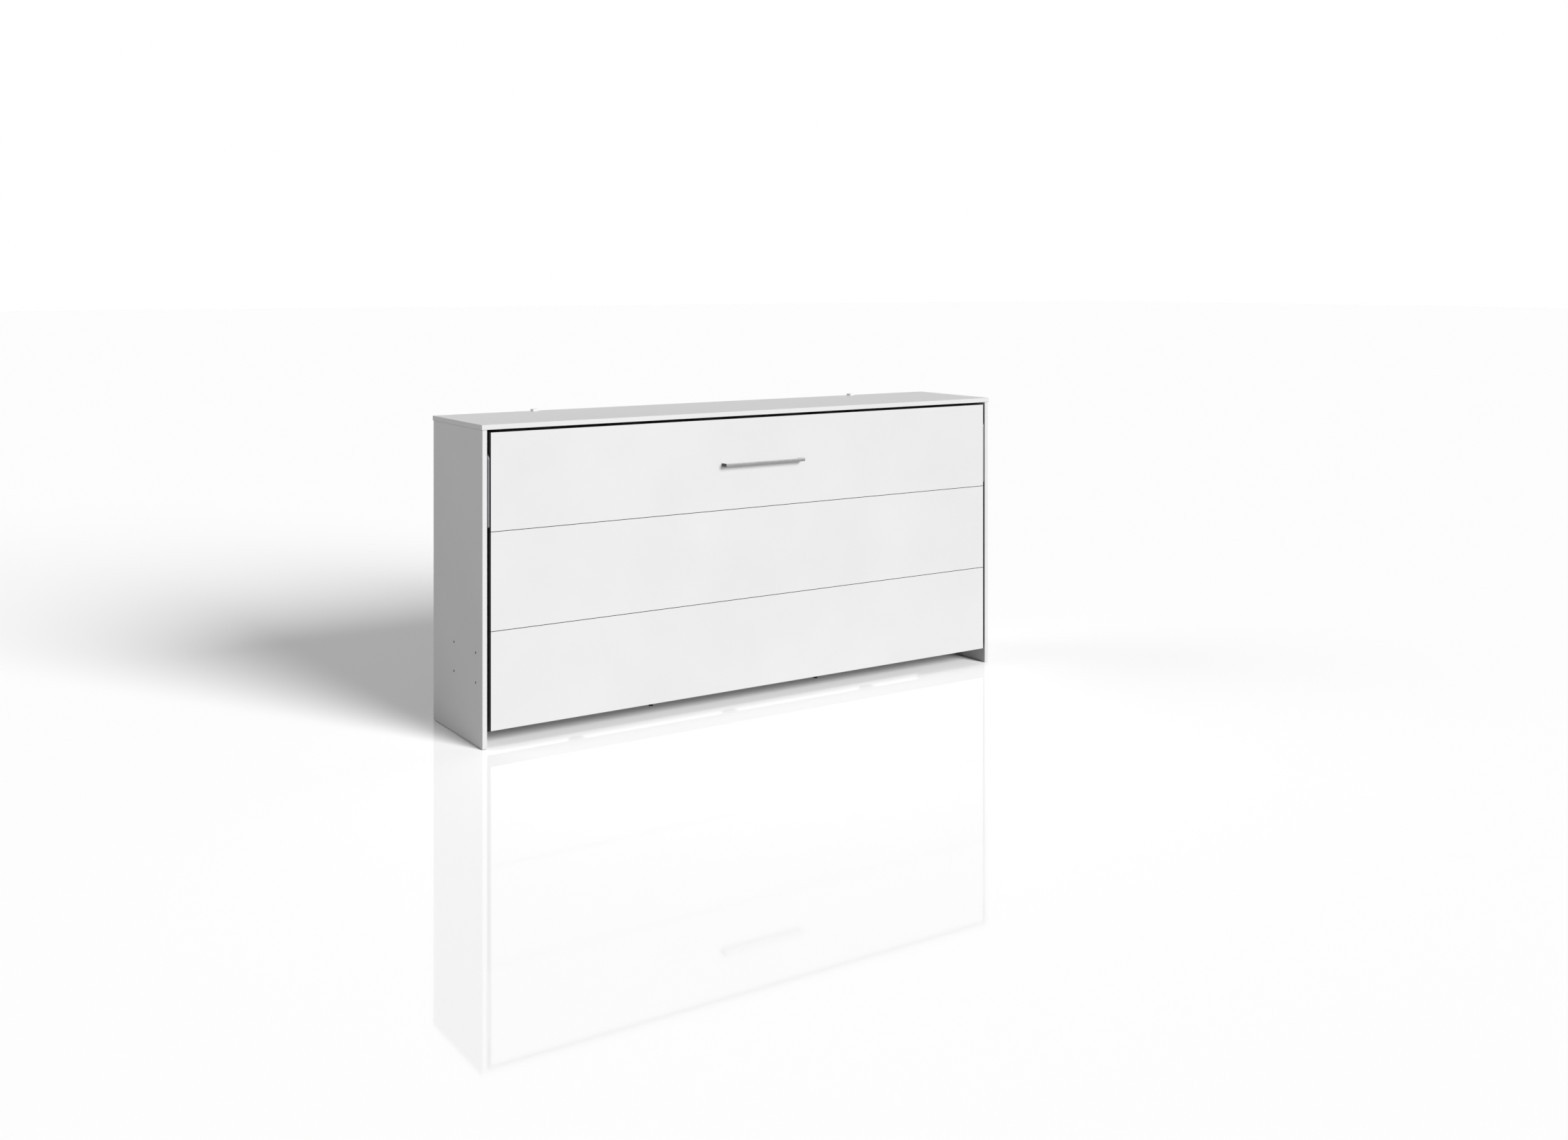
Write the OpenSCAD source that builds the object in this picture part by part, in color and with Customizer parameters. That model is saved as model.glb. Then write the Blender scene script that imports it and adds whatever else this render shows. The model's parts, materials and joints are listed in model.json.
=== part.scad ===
// Horizontal wall bed: a low white cabinet whose front folds down into a single bed.
// Frame: X across the bed, centred; Y from front to wall, centred on the whole depth;
// Z up from the floor. The front faces -Y. Everything is drawn closed, as it is stored.

/* [Cabinet] */
// Width over the two side panels
cabinet_w = 2108; // [1900:2:2600]
// Height from the floor to the top of the top panel
cabinet_h = 1034; // [980:2:1300]
// Depth of the side panels, front edge to wall
cabinet_d = 422; // [400:2:560]
// Thickness of every melamine board
board_t = 16; // [15:1:19]
// How far the top panel overhangs each side panel
top_overhang_side = 3; // [0:0.5:10]
// How far the top panel overhangs the side panels' front edges
top_overhang_front = 3.5; // [0:0.5:10]
// Height of the two rails between the side panels, against the wall
rear_rail_h = 100; // [70:5:160]
// Height of the lower rear rail's bottom edge above the floor
rear_rail_foot = 24; // [10:1:60]
// Bevel on the long edges of the boards
edge_bevel = 0.7; // [0.3:0.1:1.2]

/* [Front] */
// Gap between the front and each side panel
front_gap_side = 11.2; // [6:0.2:16]
// Gap between the front and the top panel
front_gap_top = 9; // [6:0.5:14]
// Gap between the front and the floor
front_gap_floor = 57; // [50:1:80]
// How far the front stands proud of the side panels' edges
front_proud = 3; // [0:0.5:3.5]
// Open joint between neighbouring front boards
seam_gap = 1.2; // [0.6:0.2:3]

/* [Handle] */
// Distance between the two handle posts' centres
handle_pitch = 320; // [96:32:512]
// Height of the handle's bar, and the width of its posts
handle_section = 11; // [8:1:16]
// Thickness of the handle's bar, front to back
handle_bar_t = 8; // [5:1:12]
// Distance from the front board to the front of the bar
handle_reach = 28.5; // [22:0.5:40]

/* [Bed box] */
// Space between a side panel and the bed box, for the fittings
hardware_gap = 20; // [20:1:30]
// Depth of the bed box behind the front boards
box_depth = 117; // [90:1:140]
// Inset of the bed box from the front boards' top and bottom edges
box_inset = 3; // [2:1:10]
// Gap between the mattress and each end of the bed box
mattress_end_gap = 2; // [1:1:10]
// Gap between the mattress and each long rail
mattress_side_gap = 7; // [5:1:20]
// Thickness of the mattress
mattress_t = 180; // [120:5:200]
// Number of slats
slat_count = 16; // [10:1:22]
// Width of a slat
slat_w = 65; // [50:1:80]
// Thickness of a slat
slat_t = 8; // [6:1:12]
// Height of the ledge that carries the slats, seen across the bed
ledge_w = 30; // [24:1:40]
// Thickness of that ledge, front to back
ledge_t = 28; // [20:1:34]
// Width of an upright batten behind the front boards
batten_w = 45; // [30:1:70]
// Thickness of an upright batten
batten_t = 20; // [16:1:24]
// Width of a mattress strap
strap_w = 40; // [25:1:50]

/* [Hinges] */
// Distance of the hinge axis behind the side panels' front edges
pivot_back = 100; // [95:1:120]
// Height of the hinge axis above the floor
pivot_h = 299; // [290:1:330]
// Radius of the hinge pin
pivot_r = 6; // [5:0.5:8]
// Thickness of the hinge plates, on the cabinet and on the bed
plate_t = 3.5; // [3:0.5:4]
// Running clearance between a pin and its bore, on the radius
run_clear = 0.05; // [0.02:0.01:0.08]
// Distance of the front pair of hinge bolts behind the front edge
bolt_front = 56; // [50:1:70]
// Spacing of the hinge bolts, front to back
bolt_pitch_y = 183; // [150:1:220]
// Height of the lower pair of hinge bolts
bolt_low = 204; // [180:1:220]
// Spacing of the hinge bolts, up and down
bolt_pitch_z = 96; // [64:32:128]
// Radius of the sleeve nut that shows on the outside
sleeve_r = 4; // [3:0.5:6]

/* [Gas struts] */
// Lower stud, behind (+) or in front (-) of the hinge axis
strut_low_y = -45; // [-55:1:-30]
// Lower stud, below the hinge axis
strut_low_z = -55; // [-60:1:-40]
// Upper stud, behind (+) or in front (-) of the hinge axis
strut_high_y = 5; // [0:1:20]
// Upper stud, above the hinge axis
strut_high_z = 380; // [330:5:400]
// Outer radius of the strut's tube
strut_tube_r = 6; // [5:0.5:6]
// Radius of the strut's rod
strut_rod_r = 3; // [2:0.5:4]
// Length of the tube from the lower stud to its mouth
strut_tube_len = 286; // [220:1:290]
// Radius of the studs that the struts turn on
stud_r = 4; // [3:0.5:5]

/* [Folding legs] */
// Thickness of the flat leg bar
leg_t = 5; // [4:0.5:6]
// Width of the flat leg bar
leg_w = 36; // [24:1:40]
// Gap between the leg bar and the side panel
leg_gap = 3.5; // [3:0.5:5]
// Distance of the leg's pivot behind the back of the front boards
leg_pin_back = 6; // [6:0.5:10]
// Leg pivot below the front boards' top edge
leg_drop = 87; // [60:1:140]
// Thickness of the rubber foot
foot_t = 3; // [2:0.5:6]

/* [Wall fixing and feet] */
// Distance of each wall bracket from the side panel's outer face
bracket_inset = 367; // [200:1:500]
// Width of a wall bracket
bracket_w = 16; // [14:1:30]
// Depth of the bracket's leaf on the top panel
bracket_leaf = 22; // [18:1:30]
// Depth that the bracket's leaf hangs down behind the upper rail
bracket_tail = 70; // [50:1:80]
// Thickness of the bracket's steel
bracket_t = 2; // [1.5:0.5:3]
// Radius of the wall screw hole
wall_hole_r = 3; // [2:0.5:4]
// Height of the cover cap over a bracket
cap_h = 6.5; // [6:0.5:12]
// Thickness of the plastic glides under the side panels
glide_t = 2; // [1:0.5:5]
// Side of the square steel tube along the floor
floor_tube = 25; // [20:1:25]
// Distance of that tube's front face behind the side panels' front edges
floor_tube_back = 160; // [150:1:200]
// Height of the feet under that tube
floor_foot_h = 8; // [5:1:10]

/* [Hidden] */
$fn = 48;

// Colours
white = [0.93, 0.93, 0.93];
graphite = [0.13, 0.13, 0.14];
steel = [0.62, 0.63, 0.64];
dark_steel = [0.22, 0.22, 0.23];
aluminium = [0.78, 0.78, 0.79];
zinc = [0.7, 0.71, 0.72];
black = [0.08, 0.08, 0.08];
beech = [0.82, 0.66, 0.45];
spruce = [0.85, 0.74, 0.55];
ticking = [0.95, 0.94, 0.92];

// Small constants
cut = 1;
hole_clear = 0.1;
rest_gap = 0.3;
blind_gap = 1;
dowel_r = 4;
dowel_len = 30;
dowel_face_depth = 10;
dowel_side_depth = dowel_len - dowel_face_depth + blind_gap;

// Places across the bed, for the left half
side_x = -cabinet_w / 2;
side_inner_x = side_x + board_t;
box_x = side_inner_x + hardware_gap;
box_inner_x = box_x + board_t;
front_x = side_inner_x + front_gap_side;

// Places from front to wall
edge_y = (front_proud + handle_reach - cabinet_d) / 2;
wall_y = edge_y + cabinet_d;
face_y = edge_y - front_proud;
front_back_y = face_y + board_t;
box_back_y = front_back_y + box_depth;
rail_y = wall_y - board_t;
holder_floor = 4;
holder_roof = 4;
mattress_gap = 3;
slat_y = front_back_y + ledge_t + holder_floor;
mattress_y = slat_y + slat_t + holder_roof + mattress_gap;
mattress_back_y = mattress_y + mattress_t;

// Heights
top_z = cabinet_h - board_t;
upper_rail_z = top_z - rear_rail_h;
front_z = front_gap_floor;
front_top_z = top_z - front_gap_top;
front_board_h = (front_top_z - front_z - 2 * seam_gap) / 3;
box_z = front_z + box_inset;
box_top_z = front_top_z - box_inset;
rail_low_top_z = box_z + board_t;
rail_high_z = box_top_z - board_t;
ledge_low_z = rail_low_top_z + ledge_w / 2;
ledge_high_z = rail_high_z - ledge_w / 2;
mattress_z = rail_low_top_z + mattress_side_gap;
mattress_w = rail_high_z - rail_low_top_z - 2 * mattress_side_gap;
mattress_l = cabinet_w - 2 * (2 * board_t + hardware_gap + mattress_end_gap);

// Cabinet details
top_dowel_front = 40;
top_dowel_back = 45;
rail_dowel_edge = 25;
glide_len = 30;
glide_edge = 20;
glide_inset = 2;
tube_y = edge_y + floor_tube_back;
tube_top_z = floor_foot_h + floor_tube;
tube_skin = 1.5;
floor_foot_r = 8;
floor_foot_taper = 1.5;
floor_foot_pitch = cabinet_w / 3;

// Wall brackets and their caps
bracket_hole_up = 18;
wall_screw_z = top_z - bracket_tail + bracket_hole_up;
bracket_head_t = 1.8;
bracket_head_taper = 1.2;
cap_wall = 1.2;
cap_gap = 0.6;
cap_half_w = bracket_w / 2 + cap_gap;
cap_depth = bracket_leaf + cap_gap;
cap_bevel = 0.5;

// Hinge axis, pin, bush and clip
pivot_y = edge_y + pivot_back;
bush_wall = 2;
bush_r = pivot_r + run_clear + bush_wall;
bush_flange_t = 1.5;
bush_flange_r = bush_r + 2.5;
bush_end_x = box_x + 10;
clip_gap = 0.5;
clip_t = 1;
clip_groove = 0.8;
clip_rim = 2.5;
clip_x = bush_end_x + clip_gap;
pin_tail = 1.5;
pin_end_x = clip_x + clip_t + pin_tail;
pin_room = 3;

// Hinge plates and bolts on the side panels
bolt_r = 2.5;
bolt_head_r = 5.5;
bolt_head_t = bolt_head_r - bolt_r;
bolt_thread = 9;
sleeve_head_t = 5;
sleeve_short = 1;
hex_depth = 3;
hex_r = 2.3;
plate_margin = 16;
plate_corner_r = 10;
plate_low = [edge_y + bolt_front - plate_margin, bolt_low - plate_margin];
plate_high = [edge_y + bolt_front + bolt_pitch_y + plate_margin, bolt_low + bolt_pitch_z + plate_margin];

// Arm plates and screws on the bed box
arm_x = box_x - plate_t;
arm_front = 50;
arm_low = 58;
arm_high = 54;
arm_back_gap = 3;
arm_screw_places = [[-35, 36], [14, 36], [-35, -40], [14, -40]];
arm_screw_r = 2.5;
arm_screw_len = 13;
arm_head_r = 4.8;
arm_head_t = arm_head_r - arm_screw_r;

// Gas struts
strut_low = [pivot_y + strut_low_y, pivot_h + strut_low_z];
strut_high = [pivot_y + strut_high_y, pivot_h + strut_high_z];
strut_len = norm(strut_high - strut_low);
strut_angle = atan2(strut_high[1] - strut_low[1], strut_high[0] - strut_low[0]);
strut_x = (side_inner_x + plate_t + arm_x) / 2;
eye_w = 9;
eye_r = 8;
stud_gap = 0.5;
stud_head_t = 1;
stud_head_extra = 2;
stud_flange_t = 2.5;
stud_flange_extra = 6;
stud_bite = 10;
stud_face_x = strut_x + eye_w / 2 + stud_gap;
neck_r = 3.8;
neck_start = stud_r + 1;
eye_neck = 20;
tube_wall = 1;
tube_floor = 16;
tube_base_t = 3;
tube_mouth_t = 6;
rod_clear = 0.1;
rod_seat = 14;
rod_end = strut_len - rod_seat;
rod_start = strut_tube_len - 74;
piston_len = 12;
bore_r = strut_tube_r - tube_wall;

// Folding legs: each leg stays upright, so it reaches the floor when the bed is down
leg_x = side_inner_x + leg_gap;
leg_y = front_back_y + leg_pin_back;
leg_pivot_z = front_top_z - leg_drop;
leg_pin_open_z = pivot_h + leg_y - pivot_y;
leg_bottom_z = leg_pivot_z - leg_pin_open_z + foot_t;
leg_pin_r = 4;
leg_pin_head_r = 7;
leg_pin_head_t = 1.8;
leg_pin_bite = 11;
leg_spacer_r = 5.5;
leg_side_clear = 0.3;
foot_lip = 1;
foot_bevel = 0.5;

// Stops that the bed box closes against
stop_drop = 129;
stop_h = 40;
stop_w = 30;
stop_depth = 36;
stop_z = front_top_z - stop_drop;
pad_t = 4;
pad_inset = 4;
pad_side = 1;
pad_y = box_back_y + rest_gap;

// Slats and their holders
holder_lip = 6;
slat_clear = 0.3;
slat_tuck = 4;
slat_bevel = 1;
slat_first_x = -mattress_l / 2 + slat_w / 2 + holder_lip;
slat_pitch = -2 * slat_first_x / (slat_count - 1);

// Battens, ledges and their screws
batten_places = [-1, 0, 1];
batten_pitch = mattress_l / 4;
batten_end_gap = 1;
batten_screw_shares = [0.28, 0.72];
ledge_screw_places = [-5, -3, -1, 1, 3, 5];
ledge_screw_pitch = mattress_l / 12;
box_dowel_edge = 25;
screw_r = 2;
screw_head_r = 4.2;
screw_bite = 12;
head_sink = 2.2;

// Mattress straps and buckles
mattress_bevel = 14;
strap_places = [-1, 0, 1];
strap_pitch = 620;
strap_t = 2;
strap_off = 1.5;
strap_anchor = 60;
strap_y = mattress_back_y + strap_off;
strap_foot_y = box_back_y - strap_anchor;
buckle_wall = 5;
buckle_h = 44;
buckle_bevel = 1;
buckle_z = mattress_z + mattress_w / 2;

// Handle
handle_z = front_top_z - front_board_h / 2;
handle_front_y = face_y - handle_reach;
handle_post_y = handle_front_y + handle_bar_t;
handle_bevel = 0.6;
handle_skin = 3;
handle_head_t = 2.5;
handle_head_taper = 1.4;

// Shapes that several pieces share
module block(low, high) translate(low) cube(high - low);

// A board with a small bevel along all its edges: three bevelled prisms crossed
module bevelled_prism(size, bevel) {
    linear_extrude(height = size[2]) polygon([
        [bevel, 0], [size[0] - bevel, 0], [size[0], bevel], [size[0], size[1] - bevel],
        [size[0] - bevel, size[1]], [bevel, size[1]], [0, size[1] - bevel], [0, bevel]
    ]);
}
module board(low, high, bevel = edge_bevel) {
    size = high - low;
    translate(low) intersection() {
        bevelled_prism(size, bevel);
        translate([0, size[1], 0])
            rotate([90, 0, 0]) bevelled_prism([size[0], size[2], size[1]], bevel);
        rotate([0, 0, 90]) rotate([90, 0, 0]) bevelled_prism([size[1], size[2], size[0]], bevel);
    }
}
module cone_x(x0, x1, r0, r1) {
    translate([x0, 0, 0]) rotate([0, 90, 0]) cylinder(h = x1 - x0, r1 = r0, r2 = r1);
}
module cone_y(y0, y1, r0, r1) {
    translate([0, y0, 0]) rotate([-90, 0, 0]) cylinder(h = y1 - y0, r1 = r0, r2 = r1);
}
module rod_x(x0, x1, r) cone_x(x0, x1, r, r);
module rod_y(y0, y1, r) cone_y(y0, y1, r, r);
module rod_z(z0, z1, r) translate([0, 0, z0]) cylinder(h = z1 - z0, r = r);
module on_both_sides() {
    children();
    mirror([1, 0, 0]) children();
}

// Places of fasteners, shared by the pieces that they join
module at_hinge_bolts() {
    for (row = [0, 1], column = [0, 1])
        translate([0, edge_y + bolt_front + row * bolt_pitch_y, bolt_low + column * bolt_pitch_z])
            children();
}
module at_pivot() translate([0, pivot_y, pivot_h]) children();
module at_strut_low() translate([0, strut_low[0], strut_low[1]]) children();
module at_strut_high() translate([0, strut_high[0], strut_high[1]]) children();
module at_leg_pin() translate([0, leg_y, leg_pivot_z]) children();
module at_arm_screws() at_pivot() for (p = arm_screw_places) translate([0, p[0], p[1]]) children();
module at_top_dowels() {
    for (y = [top_dowel_front, cabinet_d / 2, cabinet_d - top_dowel_back])
        translate([side_x + board_t / 2, edge_y + y, top_z]) children();
}
module at_rail_dowels(z0) {
    for (z = [rail_dowel_edge, rear_rail_h - rail_dowel_edge])
        translate([side_inner_x, wall_y - board_t / 2, z0 + z]) children();
}
module at_box_dowels(z) {
    for (y = [box_dowel_edge, box_depth - box_dowel_edge])
        translate([box_inner_x, front_back_y + y, z]) children();
}
module at_battens() for (i = batten_places) translate([i * batten_pitch, 0, 0]) children();
module at_batten_screws() at_battens()
    for (n = [0, 1, 2], share = batten_screw_shares)
        translate([0, 0, front_z + n * (front_board_h + seam_gap) + share * front_board_h]) children();
module at_ledge_screws(z) {
    for (i = ledge_screw_places) translate([i * ledge_screw_pitch, 0, z]) children();
}
module at_brackets() on_both_sides() translate([side_x + bracket_inset, 0, 0]) children();
module at_handle_posts() {
    for (x = [-1, 1]) translate([x * handle_pitch / 2, 0, handle_z]) children();
}
module at_slats() {
    for (i = [0 : slat_count - 1]) translate([slat_first_x + i * slat_pitch, 0, 0]) children();
}
module at_straps() for (i = strap_places) translate([i * strap_pitch, 0, 0]) children();

// Cabinet
module side_shape() {
    color(white) difference() {
        board([side_x, edge_y, glide_t], [side_inner_x, wall_y, top_z]);
        at_hinge_bolts() rod_x(side_x - cut, side_inner_x + cut, sleeve_r + hole_clear);
        at_top_dowels() rod_z(-dowel_side_depth, cut, dowel_r);
        at_rail_dowels(upper_rail_z) rod_x(-dowel_face_depth, cut, dowel_r);
        at_rail_dowels(rear_rail_foot) rod_x(-dowel_face_depth, cut, dowel_r);
    }
}
module side_left() side_shape();
module side_right() mirror([1, 0, 0]) side_shape();
module bracket_recess(z0, z1) {
    block([-bracket_w / 2 - rest_gap, wall_y - bracket_t, z0],
          [bracket_w / 2 + rest_gap, wall_y + cut, z1]);
}
module top_panel() {
    color(white) difference() {
        board([side_x - top_overhang_side, edge_y - top_overhang_front, top_z],
              [-side_x + top_overhang_side, wall_y, cabinet_h]);
        on_both_sides() at_top_dowels() rod_z(-cut, dowel_face_depth, dowel_r);
        at_brackets() bracket_recess(top_z - cut, cabinet_h + cut);
        at_brackets() translate([0, wall_y - bracket_leaf / 2, 0])
            rod_z(cabinet_h - screw_bite, cabinet_h + cut, screw_r);
    }
}
module rear_rail(z) {
    difference() {
        board([side_inner_x, rail_y, z], [-side_inner_x, wall_y, z + rear_rail_h]);
        on_both_sides() at_rail_dowels(z) rod_x(-cut, dowel_side_depth, dowel_r);
    }
}
module rear_rail_upper() {
    color(white) difference() {
        rear_rail(upper_rail_z);
        at_brackets() bracket_recess(top_z - bracket_tail - rest_gap, top_z + cut);
        at_brackets() translate([0, 0, wall_screw_z]) rod_y(rail_y - cut, wall_y + cut, 2 * wall_hole_r);
    }
}
module rear_rail_lower() color(white) rear_rail(rear_rail_foot);
module cabinet_dowels() {
    color(spruce) on_both_sides() {
        at_top_dowels() rod_z(dowel_face_depth - dowel_len, dowel_face_depth, dowel_r);
        for (z = [upper_rail_z, rear_rail_foot])
            at_rail_dowels(z) rod_x(-dowel_face_depth, dowel_len - dowel_face_depth, dowel_r);
    }
}
module floor_glides() {
    color(black) on_both_sides()
        for (y = [glide_edge, cabinet_d - glide_edge - glide_len])
            block([side_x + glide_inset, edge_y + y, 0],
                  [side_inner_x - glide_inset, edge_y + y + glide_len, glide_t]);
}
module floor_tube() {
    color(dark_steel) difference() {
        block([side_inner_x, tube_y, floor_foot_h], [-side_inner_x, tube_y + floor_tube, tube_top_z]);
        block([side_inner_x - cut, tube_y + tube_skin, floor_foot_h + tube_skin],
              [-side_inner_x + cut, tube_y + floor_tube - tube_skin, tube_top_z - tube_skin]);
    }
}
module floor_feet() {
    color(black) for (x = [-1, 1])
        translate([x * floor_foot_pitch / 2, tube_y + floor_tube / 2, 0])
            cylinder(h = floor_foot_h, r1 = floor_foot_r, r2 = floor_foot_r - floor_foot_taper);
}
module wall_brackets() {
    color(zinc) at_brackets() difference() {
        union() {
            block([-bracket_w / 2, wall_y - bracket_leaf, cabinet_h],
                  [bracket_w / 2, wall_y, cabinet_h + bracket_t]);
            block([-bracket_w / 2, wall_y - bracket_t, top_z - bracket_tail],
                  [bracket_w / 2, wall_y, cabinet_h + bracket_t]);
        }
        translate([0, wall_y - bracket_leaf / 2, 0])
            rod_z(cabinet_h - cut, cabinet_h + bracket_t + cut, screw_r + rest_gap);
        translate([0, 0, wall_screw_z]) rod_y(wall_y - bracket_t - cut, wall_y + cut, wall_hole_r);
    }
}
module wall_bracket_screws() {
    color(zinc) at_brackets() translate([0, wall_y - bracket_leaf / 2, cabinet_h]) {
        rod_z(blind_gap - screw_bite, bracket_t, screw_r);
        translate([0, 0, bracket_t])
            cylinder(h = bracket_head_t, r1 = screw_head_r, r2 = screw_head_r - bracket_head_taper);
    }
}
module wall_bracket_caps() {
    color(white) at_brackets() difference() {
        board([-cap_half_w - cap_wall, wall_y - cap_depth - cap_wall, cabinet_h],
              [cap_half_w + cap_wall, wall_y, cabinet_h + cap_h], cap_bevel);
        block([-cap_half_w, wall_y - cap_depth, cabinet_h - cut],
              [cap_half_w, wall_y + cut, cabinet_h + cap_h - cap_wall]);
    }
}

// Hinges, cabinet side
module rounded_plate(low, high, x0, x1, r) {
    size = high - low;
    translate([x0, low[0], low[1]]) rotate([90, 0, 90]) linear_extrude(height = x1 - x0) union() {
        translate([r, 0]) square([size[0] - 2 * r, size[1]]);
        translate([0, r]) square([size[0], size[1] - 2 * r]);
        for (y = [r, size[0] - r], z = [r, size[1] - r]) translate([y, z]) circle(r = r);
    }
}
module hinge_plate_shape() {
    plate_face_x = side_inner_x + plate_t;
    color(zinc) difference() {
        rounded_plate(plate_low, plate_high, side_inner_x, plate_face_x, plate_corner_r);
        at_hinge_bolts() {
            rod_x(side_inner_x - cut, plate_face_x + cut, bolt_r + hole_clear);
            cone_x(plate_face_x - bolt_head_t, plate_face_x, bolt_r, bolt_head_r + hole_clear);
        }
        at_pivot() rod_x(side_inner_x - cut, plate_face_x + cut, pivot_r);
        at_strut_low() rod_x(side_inner_x - cut, plate_face_x + cut, stud_r);
    }
}
module hinge_plate_left() hinge_plate_shape();
module hinge_plate_right() mirror([1, 0, 0]) hinge_plate_shape();
module hinge_bolts() {
    color(dark_steel) on_both_sides() at_hinge_bolts() {
        rod_x(side_inner_x - bolt_thread, side_inner_x + plate_t, bolt_r);
        cone_x(side_inner_x + plate_t - bolt_head_t, side_inner_x + plate_t, bolt_r, bolt_head_r);
    }
}
module hinge_sleeves() {
    color(dark_steel) on_both_sides() at_hinge_bolts() difference() {
        rod_x(side_x, side_inner_x - sleeve_short, sleeve_r);
        rod_x(side_x + sleeve_head_t, side_inner_x, bolt_r + hole_clear / 2);
        translate([side_x - cut, 0, 0])
            rotate([0, 90, 0]) cylinder(h = cut + hex_depth, r = hex_r, $fn = 6);
    }
}
module hinge_pins() {
    color(steel) on_both_sides() at_pivot() difference() {
        rod_x(side_inner_x, pin_end_x, pivot_r);
        difference() {
            rod_x(clip_x, clip_x + clip_t, pivot_r + cut);
            rod_x(clip_x - cut, clip_x + clip_t + cut, pivot_r - clip_groove);
        }
    }
}
module hinge_clips() {
    color(dark_steel) on_both_sides() at_pivot() difference() {
        rod_x(clip_x, clip_x + clip_t, pivot_r + clip_rim);
        rod_x(clip_x - cut, clip_x + clip_t + cut, pivot_r - clip_groove);
        block([clip_x - cut, -clip_rim, 0], [clip_x + clip_t + cut, clip_rim, pivot_r + clip_rim + cut]);
    }
}
module strut_lower_studs() {
    color(steel) on_both_sides() at_strut_low() {
        rod_x(side_inner_x, stud_face_x + stud_head_t, stud_r);
        rod_x(stud_face_x, stud_face_x + stud_head_t, stud_r + stud_head_extra);
    }
}
module stop_blocks() {
    color(white) on_both_sides()
        board([side_inner_x, pad_y + pad_t, stop_z],
              [side_inner_x + stop_w, pad_y + pad_t + stop_depth, stop_z + stop_h]);
}
module stop_pads() {
    color(black) on_both_sides()
        board([side_inner_x + pad_inset, pad_y, stop_z + pad_inset],
              [side_inner_x + stop_w - pad_side, pad_y + pad_t, stop_z + stop_h - pad_inset]);
}

// Front of the bed
module front_board(n) {
    z = front_z + n * (front_board_h + seam_gap);
    color(white) difference() {
        board([front_x, face_y, z], [-front_x, front_back_y, z + front_board_h]);
        at_batten_screws() rod_y(front_back_y - screw_bite, front_back_y + cut, screw_r);
        at_ledge_screws(ledge_low_z) rod_y(front_back_y - screw_bite, front_back_y + cut, screw_r);
        at_ledge_screws(ledge_high_z) rod_y(front_back_y - screw_bite, front_back_y + cut, screw_r);
        if (n == 2) at_handle_posts() rod_y(face_y - cut, front_back_y + cut, screw_r);
    }
}
module front_board_bottom() front_board(0);
module front_board_middle() front_board(1);
module front_board_top() front_board(2);
module screw_hole(through) {
    rod_y(front_back_y - cut, front_back_y + through + cut, screw_r);
    cone_y(front_back_y + through - head_sink, front_back_y + through, screw_r, screw_head_r);
}
module wood_screw(through) {
    rod_y(front_back_y - screw_bite + blind_gap, front_back_y + through, screw_r);
    cone_y(front_back_y + through - head_sink, front_back_y + through, screw_r, screw_head_r);
}
module front_battens() {
    color(spruce) difference() {
        at_battens() board([-batten_w / 2, front_back_y, rail_low_top_z + ledge_w + batten_end_gap],
                           [batten_w / 2, front_back_y + batten_t, rail_high_z - ledge_w - batten_end_gap]);
        at_batten_screws() screw_hole(batten_t);
    }
}
module batten_screws() color(zinc) at_batten_screws() wood_screw(batten_t);

// Bed box
module bed_end_shape() {
    color(graphite) difference() {
        board([box_x, front_back_y, box_z], [box_inner_x, box_back_y, box_top_z]);
        at_pivot() rod_x(box_x - cut, bush_end_x, bush_r);
        at_pivot() rod_x(bush_end_x, box_inner_x + cut, bush_r + pin_room);
        at_arm_screws() rod_x(box_x - cut, box_x + arm_screw_len, arm_screw_r);
        at_box_dowels(box_z + board_t / 2) rod_x(-dowel_face_depth, cut, dowel_r);
        at_box_dowels(box_top_z - board_t / 2) rod_x(-dowel_face_depth, cut, dowel_r);
        at_leg_pin() rod_x(box_x - cut, box_x + leg_pin_bite + blind_gap, leg_pin_r);
        at_strut_high() rod_x(box_x - cut, box_x + stud_bite + blind_gap, screw_r);
    }
}
module bed_end_left() bed_end_shape();
module bed_end_right() mirror([1, 0, 0]) bed_end_shape();
module bed_rail(z) {
    color(graphite) difference() {
        board([box_inner_x, front_back_y, z], [-box_inner_x, box_back_y, z + board_t]);
        on_both_sides() at_box_dowels(z + board_t / 2) rod_x(-cut, dowel_side_depth, dowel_r);
    }
}
module bed_rail_lower() bed_rail(box_z);
module bed_rail_upper() bed_rail(rail_high_z);
module bed_dowels() {
    color(spruce) on_both_sides() for (z = [box_z, rail_high_z])
        at_box_dowels(z + board_t / 2) rod_x(-dowel_face_depth, dowel_len - dowel_face_depth, dowel_r);
}
module slat_ledge(z) {
    color(spruce) difference() {
        board([-mattress_l / 2, front_back_y, z - ledge_w / 2],
              [mattress_l / 2, front_back_y + ledge_t, z + ledge_w / 2]);
        at_ledge_screws(z) screw_hole(ledge_t);
    }
}
module slat_ledge_lower() slat_ledge(ledge_low_z);
module slat_ledge_upper() slat_ledge(ledge_high_z);
module ledge_screws() {
    color(zinc) for (z = [ledge_low_z, ledge_high_z]) at_ledge_screws(z) wood_screw(ledge_t);
}
module slat_holder(z0, z1, open0, open1) {
    difference() {
        board([-slat_w / 2 - holder_lip, front_back_y + ledge_t, z0],
              [slat_w / 2 + holder_lip, slat_y + slat_t + holder_roof, z1]);
        block([-slat_w / 2 - slat_clear, slat_y - slat_clear, open0],
              [slat_w / 2 + slat_clear, slat_y + slat_t + slat_clear, open1]);
    }
}
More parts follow.
